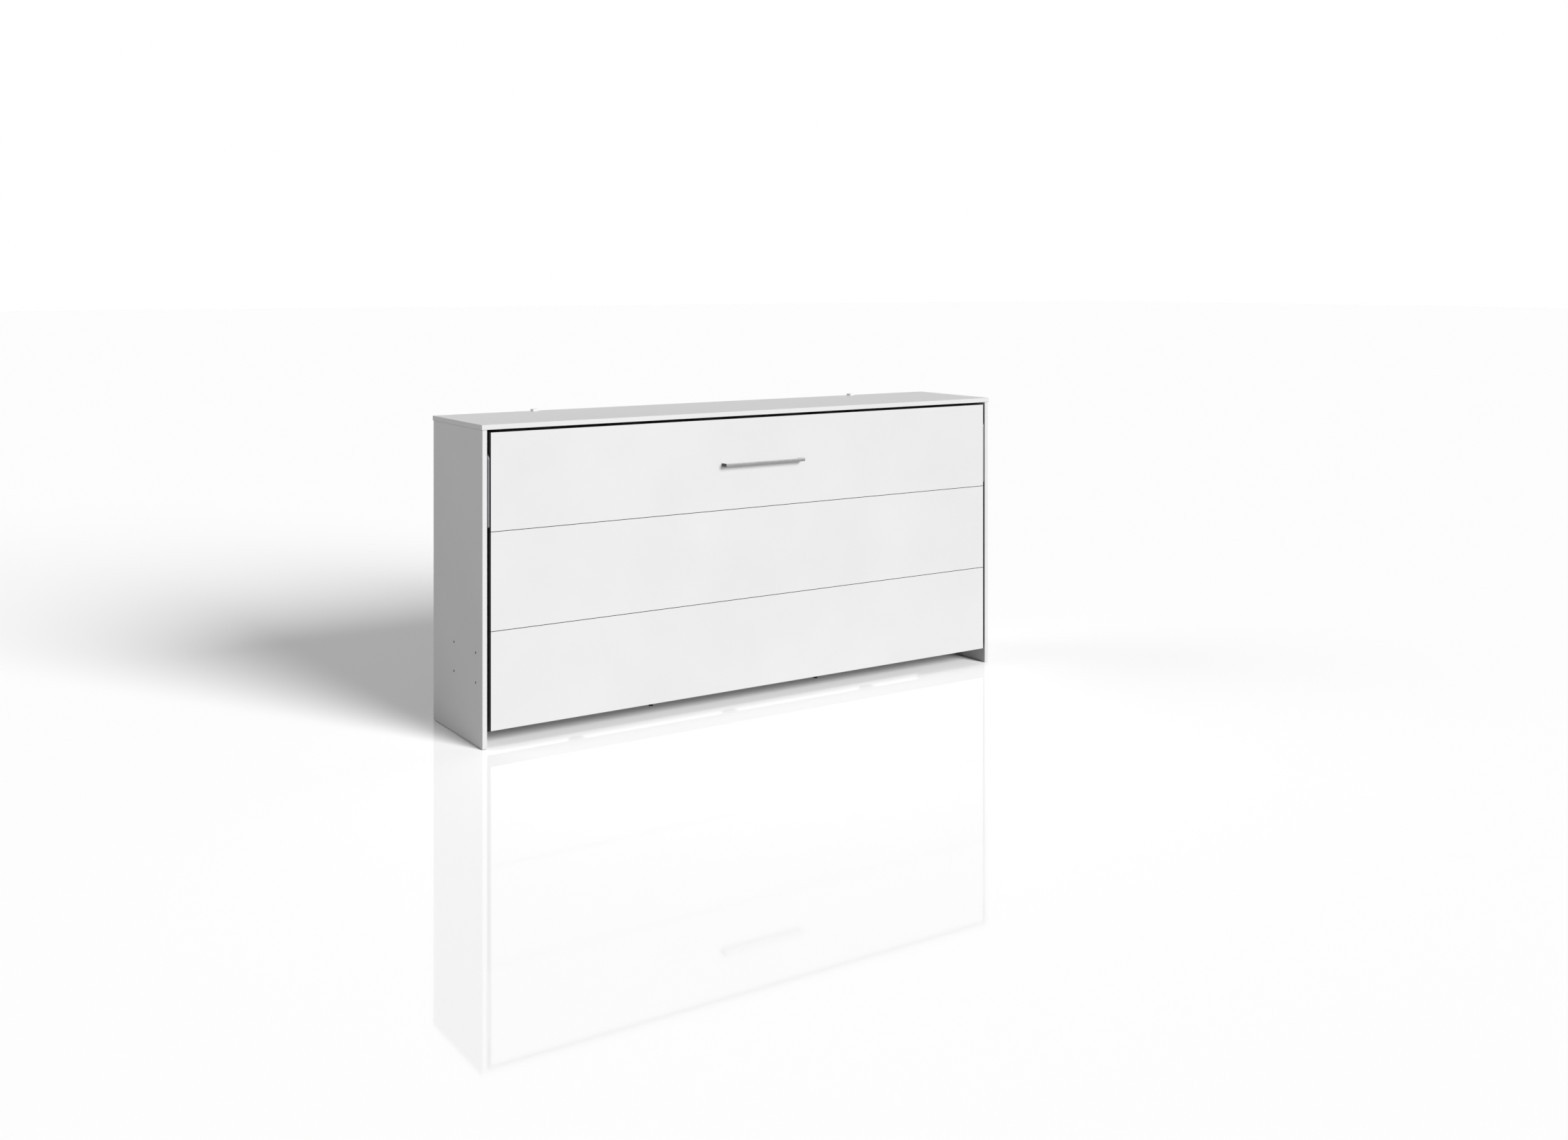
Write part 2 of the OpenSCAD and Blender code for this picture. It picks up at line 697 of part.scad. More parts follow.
module slat_holders() {
    low_end = rail_low_top_z + ledge_w;
    high_end = rail_high_z - ledge_w;
    color(black) at_slats() {
        slat_holder(rail_low_top_z, low_end, rail_low_top_z + slat_tuck, low_end + cut);
        slat_holder(high_end, rail_high_z, high_end - cut, rail_high_z - slat_tuck);
    }
}
module slats() {
    color(beech) at_slats()
        board([-slat_w / 2, slat_y, rail_low_top_z + slat_tuck + slat_clear],
              [slat_w / 2, slat_y + slat_t, rail_high_z - slat_tuck - slat_clear], slat_bevel);
}
module mattress() {
    color(ticking)
        board([-mattress_l / 2, mattress_y, mattress_z],
              [mattress_l / 2, mattress_back_y, mattress_z + mattress_w], mattress_bevel);
}
module strap_shape() {
    translate([-strap_w / 2, 0, 0]) rotate([90, 0, 90]) linear_extrude(height = strap_w) polygon([
        [strap_foot_y, rail_low_top_z], [strap_y + strap_t, rail_low_top_z],
        [strap_y + strap_t, rail_high_z], [strap_foot_y, rail_high_z],
        [strap_foot_y, rail_high_z - strap_t], [strap_y, rail_high_z - strap_t],
        [strap_y, rail_low_top_z + strap_t], [strap_foot_y, rail_low_top_z + strap_t]
    ]);
}
module mattress_straps() color(black) at_straps() strap_shape();
module strap_buckles() {
    color(black) at_straps() difference() {
        board([-strap_w / 2 - buckle_wall, mattress_back_y + rest_gap, buckle_z - buckle_h / 2],
              [strap_w / 2 + buckle_wall, strap_y + strap_t + buckle_wall, buckle_z + buckle_h / 2],
              buckle_bevel);
        block([-strap_w / 2 - slat_clear, strap_y - slat_clear, buckle_z - buckle_h],
              [strap_w / 2 + slat_clear, strap_y + strap_t + slat_clear, buckle_z + buckle_h]);
    }
}

// Handle
module handle_bar() {
    half_l = (handle_pitch + handle_section) / 2;
    color(aluminium) difference() {
        board([-half_l, handle_front_y, handle_z - handle_section / 2],
              [half_l, handle_post_y, handle_z + handle_section / 2], handle_bevel);
        at_handle_posts() rod_y(handle_front_y + handle_skin, handle_post_y + cut, screw_r);
    }
}
module handle_posts() {
    color(aluminium) at_handle_posts() difference() {
        board([-handle_section / 2, handle_post_y, -handle_section / 2],
              [handle_section / 2, face_y, handle_section / 2], handle_bevel);
        rod_y(handle_post_y - cut, face_y + cut, screw_r);
    }
}
module handle_screws() {
    color(zinc) at_handle_posts() {
        rod_y(handle_front_y + handle_skin + blind_gap, front_back_y, screw_r);
        cone_y(front_back_y, front_back_y + handle_head_t, screw_head_r, screw_head_r - handle_head_taper);
    }
}

// Hinges, bed side
module arm_plate_shape() {
    color(zinc) difference() {
        rounded_plate([pivot_y - arm_front, pivot_h - arm_low],
                      [box_back_y - arm_back_gap, pivot_h + arm_high], arm_x, box_x, plate_corner_r);
        at_pivot() rod_x(arm_x - cut, box_x + cut, bush_r);
        at_arm_screws() {
            rod_x(arm_x - cut, box_x + cut, arm_screw_r);
            cone_x(arm_x, arm_x + arm_head_t, arm_head_r, arm_screw_r);
        }
    }
}
module arm_plate_left() arm_plate_shape();
module arm_plate_right() mirror([1, 0, 0]) arm_plate_shape();
module arm_screws() {
    color(zinc) on_both_sides() at_arm_screws() {
        rod_x(arm_x, box_x + arm_screw_len - blind_gap, arm_screw_r);
        cone_x(arm_x, arm_x + arm_head_t, arm_head_r, arm_screw_r);
    }
}
module hinge_bushes() {
    flange_x = arm_x - bush_flange_t;
    color(black) on_both_sides() at_pivot() difference() {
        union() {
            rod_x(arm_x, bush_end_x, bush_r);
            rod_x(flange_x, arm_x, bush_flange_r);
        }
        rod_x(flange_x - cut, bush_end_x + cut, pivot_r + run_clear);
    }
}
module strut_upper_studs() {
    color(steel) on_both_sides() at_strut_high() {
        rod_x(stud_face_x, box_x - stud_flange_t, stud_r);
        rod_x(box_x - stud_flange_t, box_x, stud_r + stud_flange_extra);
        rod_x(box_x, box_x + stud_bite, screw_r);
    }
}

// Folding legs
module leg_pins() {
    head_x = leg_x - leg_side_clear;
    color(steel) on_both_sides() at_leg_pin() {
        rod_x(head_x - leg_pin_head_t, head_x, leg_pin_head_r);
        rod_x(head_x, box_x + leg_pin_bite, leg_pin_r);
    }
}
module leg_spacers() {
    color(zinc) on_both_sides() at_leg_pin() difference() {
        rod_x(leg_x + leg_t + leg_side_clear, box_x, leg_spacer_r);
        rod_x(leg_x, box_x + cut, leg_pin_r);
    }
}
module leg_bar_shape() {
    color(zinc) difference() {
        union() {
            block([leg_x, leg_y - leg_w / 2, leg_bottom_z],
                  [leg_x + leg_t, leg_y + leg_w / 2, leg_pivot_z]);
            at_leg_pin() rod_x(leg_x, leg_x + leg_t, leg_w / 2);
        }
        at_leg_pin() rod_x(leg_x - cut, leg_x + leg_t + cut, leg_pin_r + run_clear);
    }
}
module leg_bar_left() leg_bar_shape();
module leg_bar_right() mirror([1, 0, 0]) leg_bar_shape();
module leg_foot_shape() {
    color(black)
        board([leg_x - foot_lip, leg_y - leg_w / 2, leg_bottom_z - foot_t],
              [leg_x + leg_t + foot_lip, leg_y + leg_w / 2, leg_bottom_z], foot_bevel);
}
module leg_foot_left() leg_foot_shape();
module leg_foot_right() mirror([1, 0, 0]) leg_foot_shape();

// Gas struts, drawn along +Z from the lower stud and then laid along the line of the strut
module along_strut() {
    translate([strut_x, strut_low[0], strut_low[1]]) rotate([strut_angle - 90, 0, 0]) children();
}
module strut_end(z) translate([0, 0, z]) difference() {
    union() {
        rod_x(-eye_w / 2, eye_w / 2, eye_r);
        children();
    }
    rod_x(-eye_w / 2 - cut, eye_w / 2 + cut, stud_r + run_clear);
}
module strut_tube_shape() {
    mouth = strut_tube_len - tube_mouth_t;
    color(black) along_strut() difference() {
        union() {
            strut_end(0) rod_z(neck_start, tube_floor + cut, neck_r);
            rod_z(tube_floor, strut_tube_len, strut_tube_r);
        }
        rod_z(tube_floor + tube_base_t, mouth, bore_r);
        rod_z(mouth - cut, strut_tube_len + cut, strut_rod_r + rod_clear);
    }
}
module strut_tube_left() strut_tube_shape();
module strut_tube_right() mirror([1, 0, 0]) strut_tube_shape();
module strut_rod_shape() {
    color(steel) along_strut() {
        rod_z(rod_start, rod_end, strut_rod_r);
        rod_z(rod_start, rod_start + piston_len, bore_r - hole_clear);
    }
}
module strut_rod_left() strut_rod_shape();
module strut_rod_right() mirror([1, 0, 0]) strut_rod_shape();
module strut_eye_shape() {
    color(black) along_strut() difference() {
        strut_end(strut_len) rod_z(-eye_neck, -neck_start, neck_r);
        rod_z(strut_len - eye_neck - cut, rod_end, strut_rod_r);
    }
}
module strut_eye_left() strut_eye_shape();
module strut_eye_right() mirror([1, 0, 0]) strut_eye_shape();

side_left();
side_right();
top_panel();
rear_rail_upper();
rear_rail_lower();
cabinet_dowels();
floor_glides();
floor_tube();
floor_feet();
wall_brackets();
wall_bracket_screws();
wall_bracket_caps();
hinge_plate_left();
hinge_plate_right();
hinge_bolts();
hinge_sleeves();
hinge_pins();
hinge_clips();
strut_lower_studs();
stop_blocks();
stop_pads();
front_board_top();
front_board_middle();
front_board_bottom();
front_battens();
batten_screws();
bed_end_left();
bed_end_right();
bed_rail_lower();
bed_rail_upper();
bed_dowels();
slat_ledge_lower();
slat_ledge_upper();
ledge_screws();
slat_holders();
slats();
mattress();
mattress_straps();
strap_buckles();
handle_bar();
handle_posts();
handle_screws();
arm_plate_left();
arm_plate_right();
arm_screws();
hinge_bushes();
strut_upper_studs();
leg_pins();
leg_spacers();
leg_bar_left();
leg_bar_right();
leg_foot_left();
leg_foot_right();
strut_tube_left();
strut_tube_right();
strut_rod_left();
strut_rod_right();
strut_eye_left();
strut_eye_right();
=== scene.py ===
# %% [markdown]
# # A horizontal wall bed
#
# The real object is a low white cabinet. Its front is three boards on a bed box, and the whole front folds
# down on two side hinges until it lies flat as a single bed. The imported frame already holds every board,
# bolt and joint at its real size, so this script never draws the structure again. It gives each piece its
# finish, and it rebuilds the pieces that a plain solid can't show: the brushed handle, the quilted mattress,
# the webbing straps with their buckles, the turned gas struts and the laminated slats.

# %% Load the frame
import json
import math

import bmesh
import bpy
import numpy as np
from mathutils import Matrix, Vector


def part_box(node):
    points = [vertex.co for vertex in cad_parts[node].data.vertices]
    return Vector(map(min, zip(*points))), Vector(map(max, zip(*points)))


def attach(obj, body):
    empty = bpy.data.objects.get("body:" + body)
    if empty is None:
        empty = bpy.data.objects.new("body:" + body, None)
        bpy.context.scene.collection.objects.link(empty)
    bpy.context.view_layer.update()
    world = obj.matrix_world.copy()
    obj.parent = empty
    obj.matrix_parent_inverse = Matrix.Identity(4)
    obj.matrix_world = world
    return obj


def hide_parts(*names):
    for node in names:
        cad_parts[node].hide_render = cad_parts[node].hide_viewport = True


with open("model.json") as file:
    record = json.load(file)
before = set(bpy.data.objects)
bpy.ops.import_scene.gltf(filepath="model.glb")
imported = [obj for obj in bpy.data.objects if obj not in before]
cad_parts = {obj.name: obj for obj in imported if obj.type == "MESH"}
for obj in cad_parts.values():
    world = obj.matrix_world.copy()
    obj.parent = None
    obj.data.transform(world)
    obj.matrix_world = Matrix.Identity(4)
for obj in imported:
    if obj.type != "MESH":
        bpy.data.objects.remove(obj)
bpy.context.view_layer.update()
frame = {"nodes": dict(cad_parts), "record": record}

# %% [markdown]
# ## Camera
#
# The bed is seen from its left, a little above its top, with the upright edges parallel. A level camera with
# a shifted lens gives that, so the camera here is level and its shift lowers the view.
# Its place is given in the frame's own coordinates: across, towards the room, and up.

# %% Camera
CAMERA_PLACE = (-3.0274, -4.9002, 1.4925)
CAMERA_YAW = 33.577
LENS_MM, SENSOR_MM = 36.22, 36.0
SHIFT_DOWN = -0.1845


def make_camera():
    """A level camera turned CAMERA_YAW degrees to the right of +Y, with the lens shifted down."""
    data = bpy.data.cameras.new("camera")
    data.lens, data.sensor_width = LENS_MM, SENSOR_MM
    data.shift_y = SHIFT_DOWN
    data.dof.use_dof = False
    camera = bpy.data.objects.new("camera", data)
    camera.location = CAMERA_PLACE
    camera.rotation_euler = (math.radians(90), 0, -math.radians(CAMERA_YAW))
    bpy.context.scene.collection.objects.link(camera)
    bpy.context.scene.camera = camera
    return camera


camera = make_camera()
print("camera at", tuple(camera.location), "with a", LENS_MM, "mm lens")

# %% [markdown]
# ## Meshes from arrays
#
# Every new piece is a surface worked out on a grid: one parameter runs along the piece and one runs round
# it. The grid is filled with whole arrays and handed to Blender once. A few helpers do the shared work.
# `grid_faces` numbers the quads, `carried` takes a closed profile along a flat path, and `piece` turns the
# arrays into an object, points its faces outwards and lets it ride on a body of the frame.


# %% Grids, profiles and pieces
def grid_faces(rows, columns, close_rows=False, close_columns=True):
    """Quads between neighbouring grid points: point (i, j) has the number i * columns + j."""
    i = np.arange(rows if close_rows else rows - 1)
    j = np.arange(columns if close_columns else columns - 1)
    a, b = np.meshgrid(i, j, indexing="ij")
    a2, b2 = (a + 1) % rows, (b + 1) % columns
    quads = np.stack([a * columns + b, a * columns + b2, a2 * columns + b2, a2 * columns + b], -1)
    return quads.reshape(-1, 4).tolist()


def capped(rows, columns):
    """The two end rings of an open tube, each as one face."""
    last = (rows - 1) * columns
    return [list(range(columns))[::-1], list(range(last, last + columns))]


def rounded_outline(width, height, radius, steps=5):
    """A rectangle with round corners: each corner is a quarter circle of that radius about its own centre."""
    turn = np.linspace(0, np.pi / 2, steps)
    corners = []
    for quarter, (sx, sy) in enumerate([(1, 1), (-1, 1), (-1, -1), (1, -1)]):
        angle = turn + quarter * np.pi / 2
        centre = np.array([sx * (width / 2 - radius), sy * (height / 2 - radius)])
        corners.append(centre + radius * np.stack([np.cos(angle), np.sin(angle)], 1))
    return np.concatenate(corners)


def carried(path, side, profile, closed=False):
    """Points of a profile carried along a flat path: ring = path + u * (tangent x side) + v * side."""
    path, side = np.asarray(path, float), np.asarray(side, float)
    if closed:
        tangent = np.roll(path, -1, 0) - np.roll(path, 1, 0)
    else:
        tangent = np.gradient(path, axis=0)
    tangent /= np.linalg.norm(tangent, axis=1, keepdims=True)
    across = np.cross(tangent, side)
    ring = path[:, None] + profile[None, :, :1] * across[:, None] + profile[None, :, 1:] * side
    faces = grid_faces(len(path), len(profile), close_rows=closed)
    return ring.reshape(-1, 3), faces + ([] if closed else capped(len(path), len(profile)))


def turned(start, end, profile, sides=32):
    """A profile of (distance along, radius) spun about the line from start to end, in metres."""
    start, end = np.asarray(start, float), np.asarray(end, float)
    along = (end - start) / np.linalg.norm(end - start)
    first = np.cross(along, [1.0, 0.0, 0.0])
    first = first if np.linalg.norm(first) > 0.1 else np.cross(along, [0.0, 1.0, 0.0])
    first /= np.linalg.norm(first)
    second = np.cross(along, first)
    angle = np.linspace(0, 2 * np.pi, sides, endpoint=False)
    round_it = np.cos(angle)[:, None] * first + np.sin(angle)[:, None] * second
    reach, radius = np.asarray(profile, float).T
    ring = start + reach[:, None, None] * along + radius[:, None, None] * round_it
    return ring.reshape(-1, 3), grid_faces(len(reach), sides) + capped(len(reach), sides)


def travelled(points):
    """How far along a row of points each one lies: the running sum of the steps' lengths, from 0."""
    return np.concatenate([[0], np.cumsum(np.linalg.norm(np.diff(points, axis=0), axis=1))])


def corners_of(node):
    """The lowest and the highest corner of a node, as arrays."""
    return [np.array(corner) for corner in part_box(node)]


def joined(parts):
    """Several (points, faces) pairs as one, with the faces renumbered."""
    points, faces, count = [], [], 0
    for part_points, part_faces in parts:
        points.append(np.asarray(part_points))
        faces += [[count + k for k in face] for face in part_faces]
        count += len(part_points)
    return np.concatenate(points), faces


def piece(name, points, faces, slot, body, stands_for=(), sharp_degrees=35, uv=None):
    """An object at the origin from arrays, facing outwards, with the finish of that slot, riding on a body.
    uv is a pair (name of the map, one pair of numbers per point)."""
    mesh = bpy.data.meshes.new(name)
    mesh.from_pydata(np.asarray(points, float).tolist(), [], faces)
    if uv:
        corner = np.zeros(len(mesh.loops), np.int32)
        mesh.loops.foreach_get("vertex_index", corner)
        layer = mesh.uv_layers.new(name=uv[0])
        layer.data.foreach_set("uv", np.asarray(uv[1], np.float32)[corner].ravel())
    build = bmesh.new()
    build.from_mesh(mesh)
    bmesh.ops.remove_doubles(build, verts=build.verts, dist=1e-6)
    bmesh.ops.recalc_face_normals(build, faces=build.faces)
    build.to_mesh(mesh)
    build.free()
    return finish_piece(bpy.data.objects.new(name, mesh), slot, body, stands_for, sharp_degrees)


def finish_piece(obj, slot, body, stands_for=(), sharp_degrees=35):
    """Shades the piece smooth except at sharp edges, and hands it to the frame."""
    mesh = obj.data
    mesh.polygons.foreach_set("use_smooth", np.ones(len(mesh.polygons), bool))
    mesh.set_sharp_from_angle(angle=math.radians(sharp_degrees))
    mesh.materials.clear()
    mesh.materials.append(finishes[slot])
    if obj.name not in bpy.context.scene.collection.objects:
        bpy.context.scene.collection.objects.link(obj)
    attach(obj, body)
    if stands_for:
        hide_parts(*stands_for)
    print(f"{obj.name}: {len(mesh.vertices)} points on {body}")
    return obj


# %% [markdown]
# ## Finishes
#
# A board, a plated plate and a strap differ mostly in how their surface scatters light at a fine scale. Each
# of those fine patterns is used by more than one finish, so each is a node group with named inputs: a fine
# speckle, a wood grain, brushing and a weave. A group only puts out masks and heights. The shader itself, and
# every constant such as coat or sheen, stays in the material, where it can be read.


# %% Placing shader nodes
def add(tree, kind, inputs=None, **settings):
    """One shader node, with its settings and the values of its named inputs."""
    made = tree.nodes.new(kind)
    for name, value in settings.items():
        setattr(made, name, value)
    for name, value in (inputs or {}).items():
        made.inputs[name].default_value = value
    return made


def math_node(tree, operation, first, second=None):
    """A math node whose operands are sockets or plain numbers."""
    made = tree.nodes.new("ShaderNodeMath")
    made.operation = operation
    for place, value in enumerate((first, second)):
        if value is None:
            continue
        if isinstance(value, (int, float)):
            made.inputs[place].default_value = value
        else:
            tree.links.new(value, made.inputs[place])
    return made.outputs[0]


def new_group(name, numbers, outputs):
    """An empty node group that takes a Vector and some numbers, and gives those outputs."""
    tree = bpy.data.node_groups.new(name, "ShaderNodeTree")
    tree.interface.new_socket("Vector", in_out="INPUT", socket_type="NodeSocketVector")
    for socket, value in numbers.items():
        made = tree.interface.new_socket(socket, in_out="INPUT", socket_type="NodeSocketFloat")
        made.default_value = value
    for socket in outputs:
        tree.interface.new_socket(socket, in_out="OUTPUT", socket_type="NodeSocketFloat")
    return tree, tree.nodes.new("NodeGroupInput"), tree.nodes.new("NodeGroupOutput")


# %% Speckle, the fine texture of melamine, paint, plating and moulded plastic
def make_speckle():
    """Height = fine noise; Patch = slow noise, for how even the finish is over a hand's breadth."""
    tree, given, out = new_group("speckle", {"Fine": 900.0, "Broad": 9.0}, ["Height", "Patch"])
    fine = add(tree, "ShaderNodeTexNoise", {"Detail": 3.0, "Roughness": 0.6})
    broad = add(tree, "ShaderNodeTexNoise", {"Detail": 2.0, "Roughness": 0.5})
    for noise, scale in ((fine, "Fine"), (broad, "Broad")):
        tree.links.new(given.outputs["Vector"], noise.inputs["Vector"])
        tree.links.new(given.outputs[scale], noise.inputs["Scale"])
    tree.links.new(fine.outputs["Fac"], out.inputs["Height"])
    tree.links.new(broad.outputs["Fac"], out.inputs["Patch"])
    return tree


SPECKLE = make_speckle()
print("group:", SPECKLE.name)


# %% Grain, along the Vector's X
def make_grain():
    """Rings = bands of a wave bent by noise that is stretched along X; Pores = short dark dashes along X."""
    tree, given, out = new_group("grain", {"Rings": 16.0, "Stretch": 0.06}, ["Rings", "Pores"])
    stretch = add(tree, "ShaderNodeCombineXYZ", {"Y": 1.0, "Z": 1.0})
    tree.links.new(given.outputs["Stretch"], stretch.inputs["X"])
    squeezed = add(tree, "ShaderNodeVectorMath", operation="MULTIPLY")
    tree.links.new(given.outputs["Vector"], squeezed.inputs[0])
    tree.links.new(stretch.outputs[0], squeezed.inputs[1])
    wave = add(tree, "ShaderNodeTexWave", {"Distortion": 5.0, "Detail": 3.0, "Detail Scale": 1.4},
               wave_type="BANDS", bands_direction="DIAGONAL", wave_profile="SAW")
    tree.links.new(squeezed.outputs[0], wave.inputs["Vector"])
    tree.links.new(given.outputs["Rings"], wave.inputs["Scale"])
    pores = add(tree, "ShaderNodeTexNoise", {"Scale": 700.0, "Detail": 2.0, "Roughness": 0.7})
    tree.links.new(squeezed.outputs[0], pores.inputs["Vector"])
    tree.links.new(wave.outputs["Fac"], out.inputs["Rings"])
    tree.links.new(pores.outputs["Fac"], out.inputs["Pores"])
    return tree


GRAIN = make_grain()
print("group:", GRAIN.name)


# %% Brushing, along the Vector's X
def make_brushing():
    """Streaks = noise drawn out along X, so that it changes a hundred times faster across than along."""
    tree, given, out = new_group("brushing", {"Fineness": 1800.0, "Stretch": 0.012}, ["Streaks"])
    stretch = add(tree, "ShaderNodeCombineXYZ", {"Y": 1.0, "Z": 1.0})
    tree.links.new(given.outputs["Stretch"], stretch.inputs["X"])
    drawn = add(tree, "ShaderNodeVectorMath", operation="MULTIPLY")
    tree.links.new(given.outputs["Vector"], drawn.inputs[0])
    tree.links.new(stretch.outputs[0], drawn.inputs[1])
    noise = add(tree, "ShaderNodeTexNoise", {"Detail": 4.0, "Roughness": 0.65})
    tree.links.new(drawn.outputs[0], noise.inputs["Vector"])
    tree.links.new(given.outputs["Fineness"], noise.inputs["Scale"])
    tree.links.new(noise.outputs["Fac"], out.inputs["Streaks"])
    return tree


BRUSHING = make_brushing()
print("group:", BRUSHING.name)


# %% Weave, of threads along the Vector's X and Y
def make_weave():
    """Height of a plain weave: where the whole parts of X and Y add to an even number the thread across X is
    on top, |sin(pi x)|, and elsewhere the other one is, |sin(pi y)|."""
    tree, given, out = new_group("weave", {"Threads": 1000.0}, ["Height"])
    scaled = add(tree, "ShaderNodeVectorMath", operation="SCALE")
    tree.links.new(given.outputs["Vector"], scaled.inputs[0])
    tree.links.new(given.outputs["Threads"], scaled.inputs["Scale"])
    parts = add(tree, "ShaderNodeSeparateXYZ")
    tree.links.new(scaled.outputs[0], parts.inputs[0])
    x, y = parts.outputs["X"], parts.outputs["Y"]
    bump_x = math_node(tree, "ABSOLUTE", math_node(tree, "SINE", math_node(tree, "MULTIPLY", x, math.pi)))
    bump_y = math_node(tree, "ABSOLUTE", math_node(tree, "SINE", math_node(tree, "MULTIPLY", y, math.pi)))
    whole = math_node(tree, "ADD", math_node(tree, "FLOOR", x), math_node(tree, "FLOOR", y))
    odd = math_node(tree, "FLOORED_MODULO", whole, 2.0)
    even = math_node(tree, "SUBTRACT", 1.0, odd)
    over, under = math_node(tree, "MULTIPLY", even, bump_x), math_node(tree, "MULTIPLY", odd, bump_y)
    height = math_node(tree, "ADD", over, under)
    tree.links.new(height, out.inputs["Height"])
    return tree


WEAVE = make_weave()
print("group:", WEAVE.name)


# %% A material with its shader, pattern and bump
def new_finish(name, constants):
    """A material, its tree, its shader with the constants on its own sockets, and Object coordinates."""
    material = bpy.data.materials.new(name)
    material.use_nodes = True
    tree = material.node_tree
    shader = tree.nodes["Principled BSDF"]
    for socket, value in constants.items():
        shader.inputs[socket].default_value = value
    coordinates = add(tree, "ShaderNodeTexCoord").outputs["Object"]
    return material, tree, shader, coordinates


def use_group(tree, group, vector, **numbers):
    """A group placed in a material, fed with coordinates and its own numbers."""
    made = add(tree, "ShaderNodeGroup", node_tree=group)
    tree.links.new(vector, made.inputs["Vector"])
    for name, value in numbers.items():
        made.inputs[name].default_value = value
    return made


def turned_to(tree, coordinates, degrees):
    """Coordinates turned about each axis, so that a pattern that runs along X runs another way."""
    mapping = add(tree, "ShaderNodeMapping")
    mapping.inputs["Rotation"].default_value = [math.radians(angle) for angle in degrees]
    tree.links.new(coordinates, mapping.inputs["Vector"])
    return mapping.outputs[0]


def colour_between(tree, mask, low, high, start=0.3, end=0.7):
    """A colour that goes from low to high as the mask goes from start to end."""
    ramp = tree.nodes.new("ShaderNodeValToRGB")
    ramp.color_ramp.elements[0].position, ramp.color_ramp.elements[1].position = start, end
    ramp.color_ramp.elements[0].color, ramp.color_ramp.elements[1].color = (*low, 1), (*high, 1)
    tree.links.new(mask, ramp.inputs[0])
    return ramp.outputs[0]


def value_between(tree, mask, low, high, start=0.3, end=0.7):
    """A number that goes from low to high as the mask goes from start to end."""
    limits = {"From Min": start, "From Max": end, "To Min": low, "To Max": high}
    span = add(tree, "ShaderNodeMapRange", limits)
    tree.links.new(mask, span.inputs["Value"])
    return span.outputs[0]


def coloured(tree, shader, mask, low, high, start=0.3, end=0.7):
    """The shader's base colour goes from low to high with the mask."""
    tree.links.new(colour_between(tree, mask, low, high, start, end), shader.inputs["Base Color"])


def roughened(tree, shader, mask, low, high):
    """The shader's roughness goes from low to high with the mask."""
    tree.links.new(value_between(tree, mask, low, high), shader.inputs["Roughness"])


def striped(tree, shader, mask, plain, stripe):
    """The base colour is the plain socket's where the mask is 0, and the stripe colour where it is 1."""
    choice = add(tree, "ShaderNodeMix", data_type="RGBA")
    tree.links.new(mask, choice.inputs["Factor"])
    tree.links.new(plain, choice.inputs["A"])
    choice.inputs["B"].default_value = (*stripe, 1)
    tree.links.new(choice.outputs["Result"], shader.inputs["Base Color"])


def bumped(tree, shader, height, strength, depth):
    """The height as a bump of that depth in metres, on the shader's normal."""
    bump = add(tree, "ShaderNodeBump", {"Strength": strength, "Distance": depth})
    tree.links.new(height, bump.inputs["Height"])
    tree.links.new(bump.outputs["Normal"], shader.inputs["Normal"])
    return bump


# %% [markdown]
# ### Melamine
#
# The boards are chipboard under a melamine skin, white outside and graphite for the bed box behind the front.
# The bed box's graphite is painted shade: the box is made dark so that the gaps round the front look shaded.
# Pressing leaves a faint orange-peel texture, and the gloss is not quite even, so the roughness drifts slowly
# and a very shallow speckle breaks up the highlight. The front boards' edges carry painted shade in graphite,
# so the gap round them and the joints between them read as dark lines. That painted shade is a mask on Object
# coordinates: a point of the surface that lies between the front and back skins can only be on an edge.


# %% Melamine boards
def melamine(name, low, high):
    """A board's skin between two close shades, with slowly drifting gloss and a shallow orange peel."""
    material, tree, shader, place = new_finish(name, {"Specular IOR Level": 0.3})
    speckle = use_group(tree, SPECKLE, place, Fine=420.0, Broad=3.0)
    coloured(tree, shader, speckle.outputs["Patch"], (low,) * 3, (high,) * 3)
    roughened(tree, shader, speckle.outputs["Patch"], 0.42, 0.50)
    bumped(tree, shader, speckle.outputs["Height"], 0.12, 0.0004)
    return material


# This dark colour is painted shade on the front boards' edges, which lie in the shaded gaps round the front.
SKIN, PAINTED_GAP_SHADE = 0.0003, (0.06, 0.06, 0.06)
FRONT_NODES = ("front_board_top", "front_board_middle", "front_board_bottom")


def with_painted_gap_shade(material, front, back):
    """The same skin, but painted shade in graphite where front + skin < y < back - skin, which is only on a
    board's edges.
    """
    tree = material.node_tree
    shader = tree.nodes["Principled BSDF"]
    skin = shader.inputs["Base Color"].links[0].from_socket
    place = add(tree, "ShaderNodeSeparateXYZ")
    tree.links.new(add(tree, "ShaderNodeTexCoord").outputs["Object"], place.inputs[0])
    behind_face = math_node(tree, "GREATER_THAN", place.outputs["Y"], front + SKIN)
    before_back = math_node(tree, "LESS_THAN", place.outputs["Y"], back - SKIN)
    striped(tree, shader, math_node(tree, "MULTIPLY", behind_face, before_back), skin, PAINTED_GAP_SHADE)
    return material


board_low, board_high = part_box(FRONT_NODES[1])
front_board = with_painted_gap_shade(melamine("banded front board", 0.80, 0.83), board_low[1], board_high[1])
print("front boards from y =", board_low[1], "to", board_high[1])

# %% [markdown]
# ### Wood
#
# Ledges, battens and dowels are planed softwood with wide rings. The slats are beech, glued up from thin
# layers, so their faces show fine pores and their edges show the layers as stripes.


# %% Softwood and laminated beech
def softwood():
    """Wide rings and short pores, slightly slanted, as in a sawn batten."""
    material, tree, shader, place = new_finish("softwood", {"Roughness": 0.62})
    grain = use_group(tree, GRAIN, turned_to(tree, place, (12, 8, 0)), Rings=26.0, Stretch=0.05)
    coloured(tree, shader, grain.outputs["Rings"], (0.66, 0.46, 0.26), (0.80, 0.62, 0.40), 0.0, 0.85)
    bumped(tree, shader, grain.outputs["Pores"], 0.25, 0.0003)
    return material


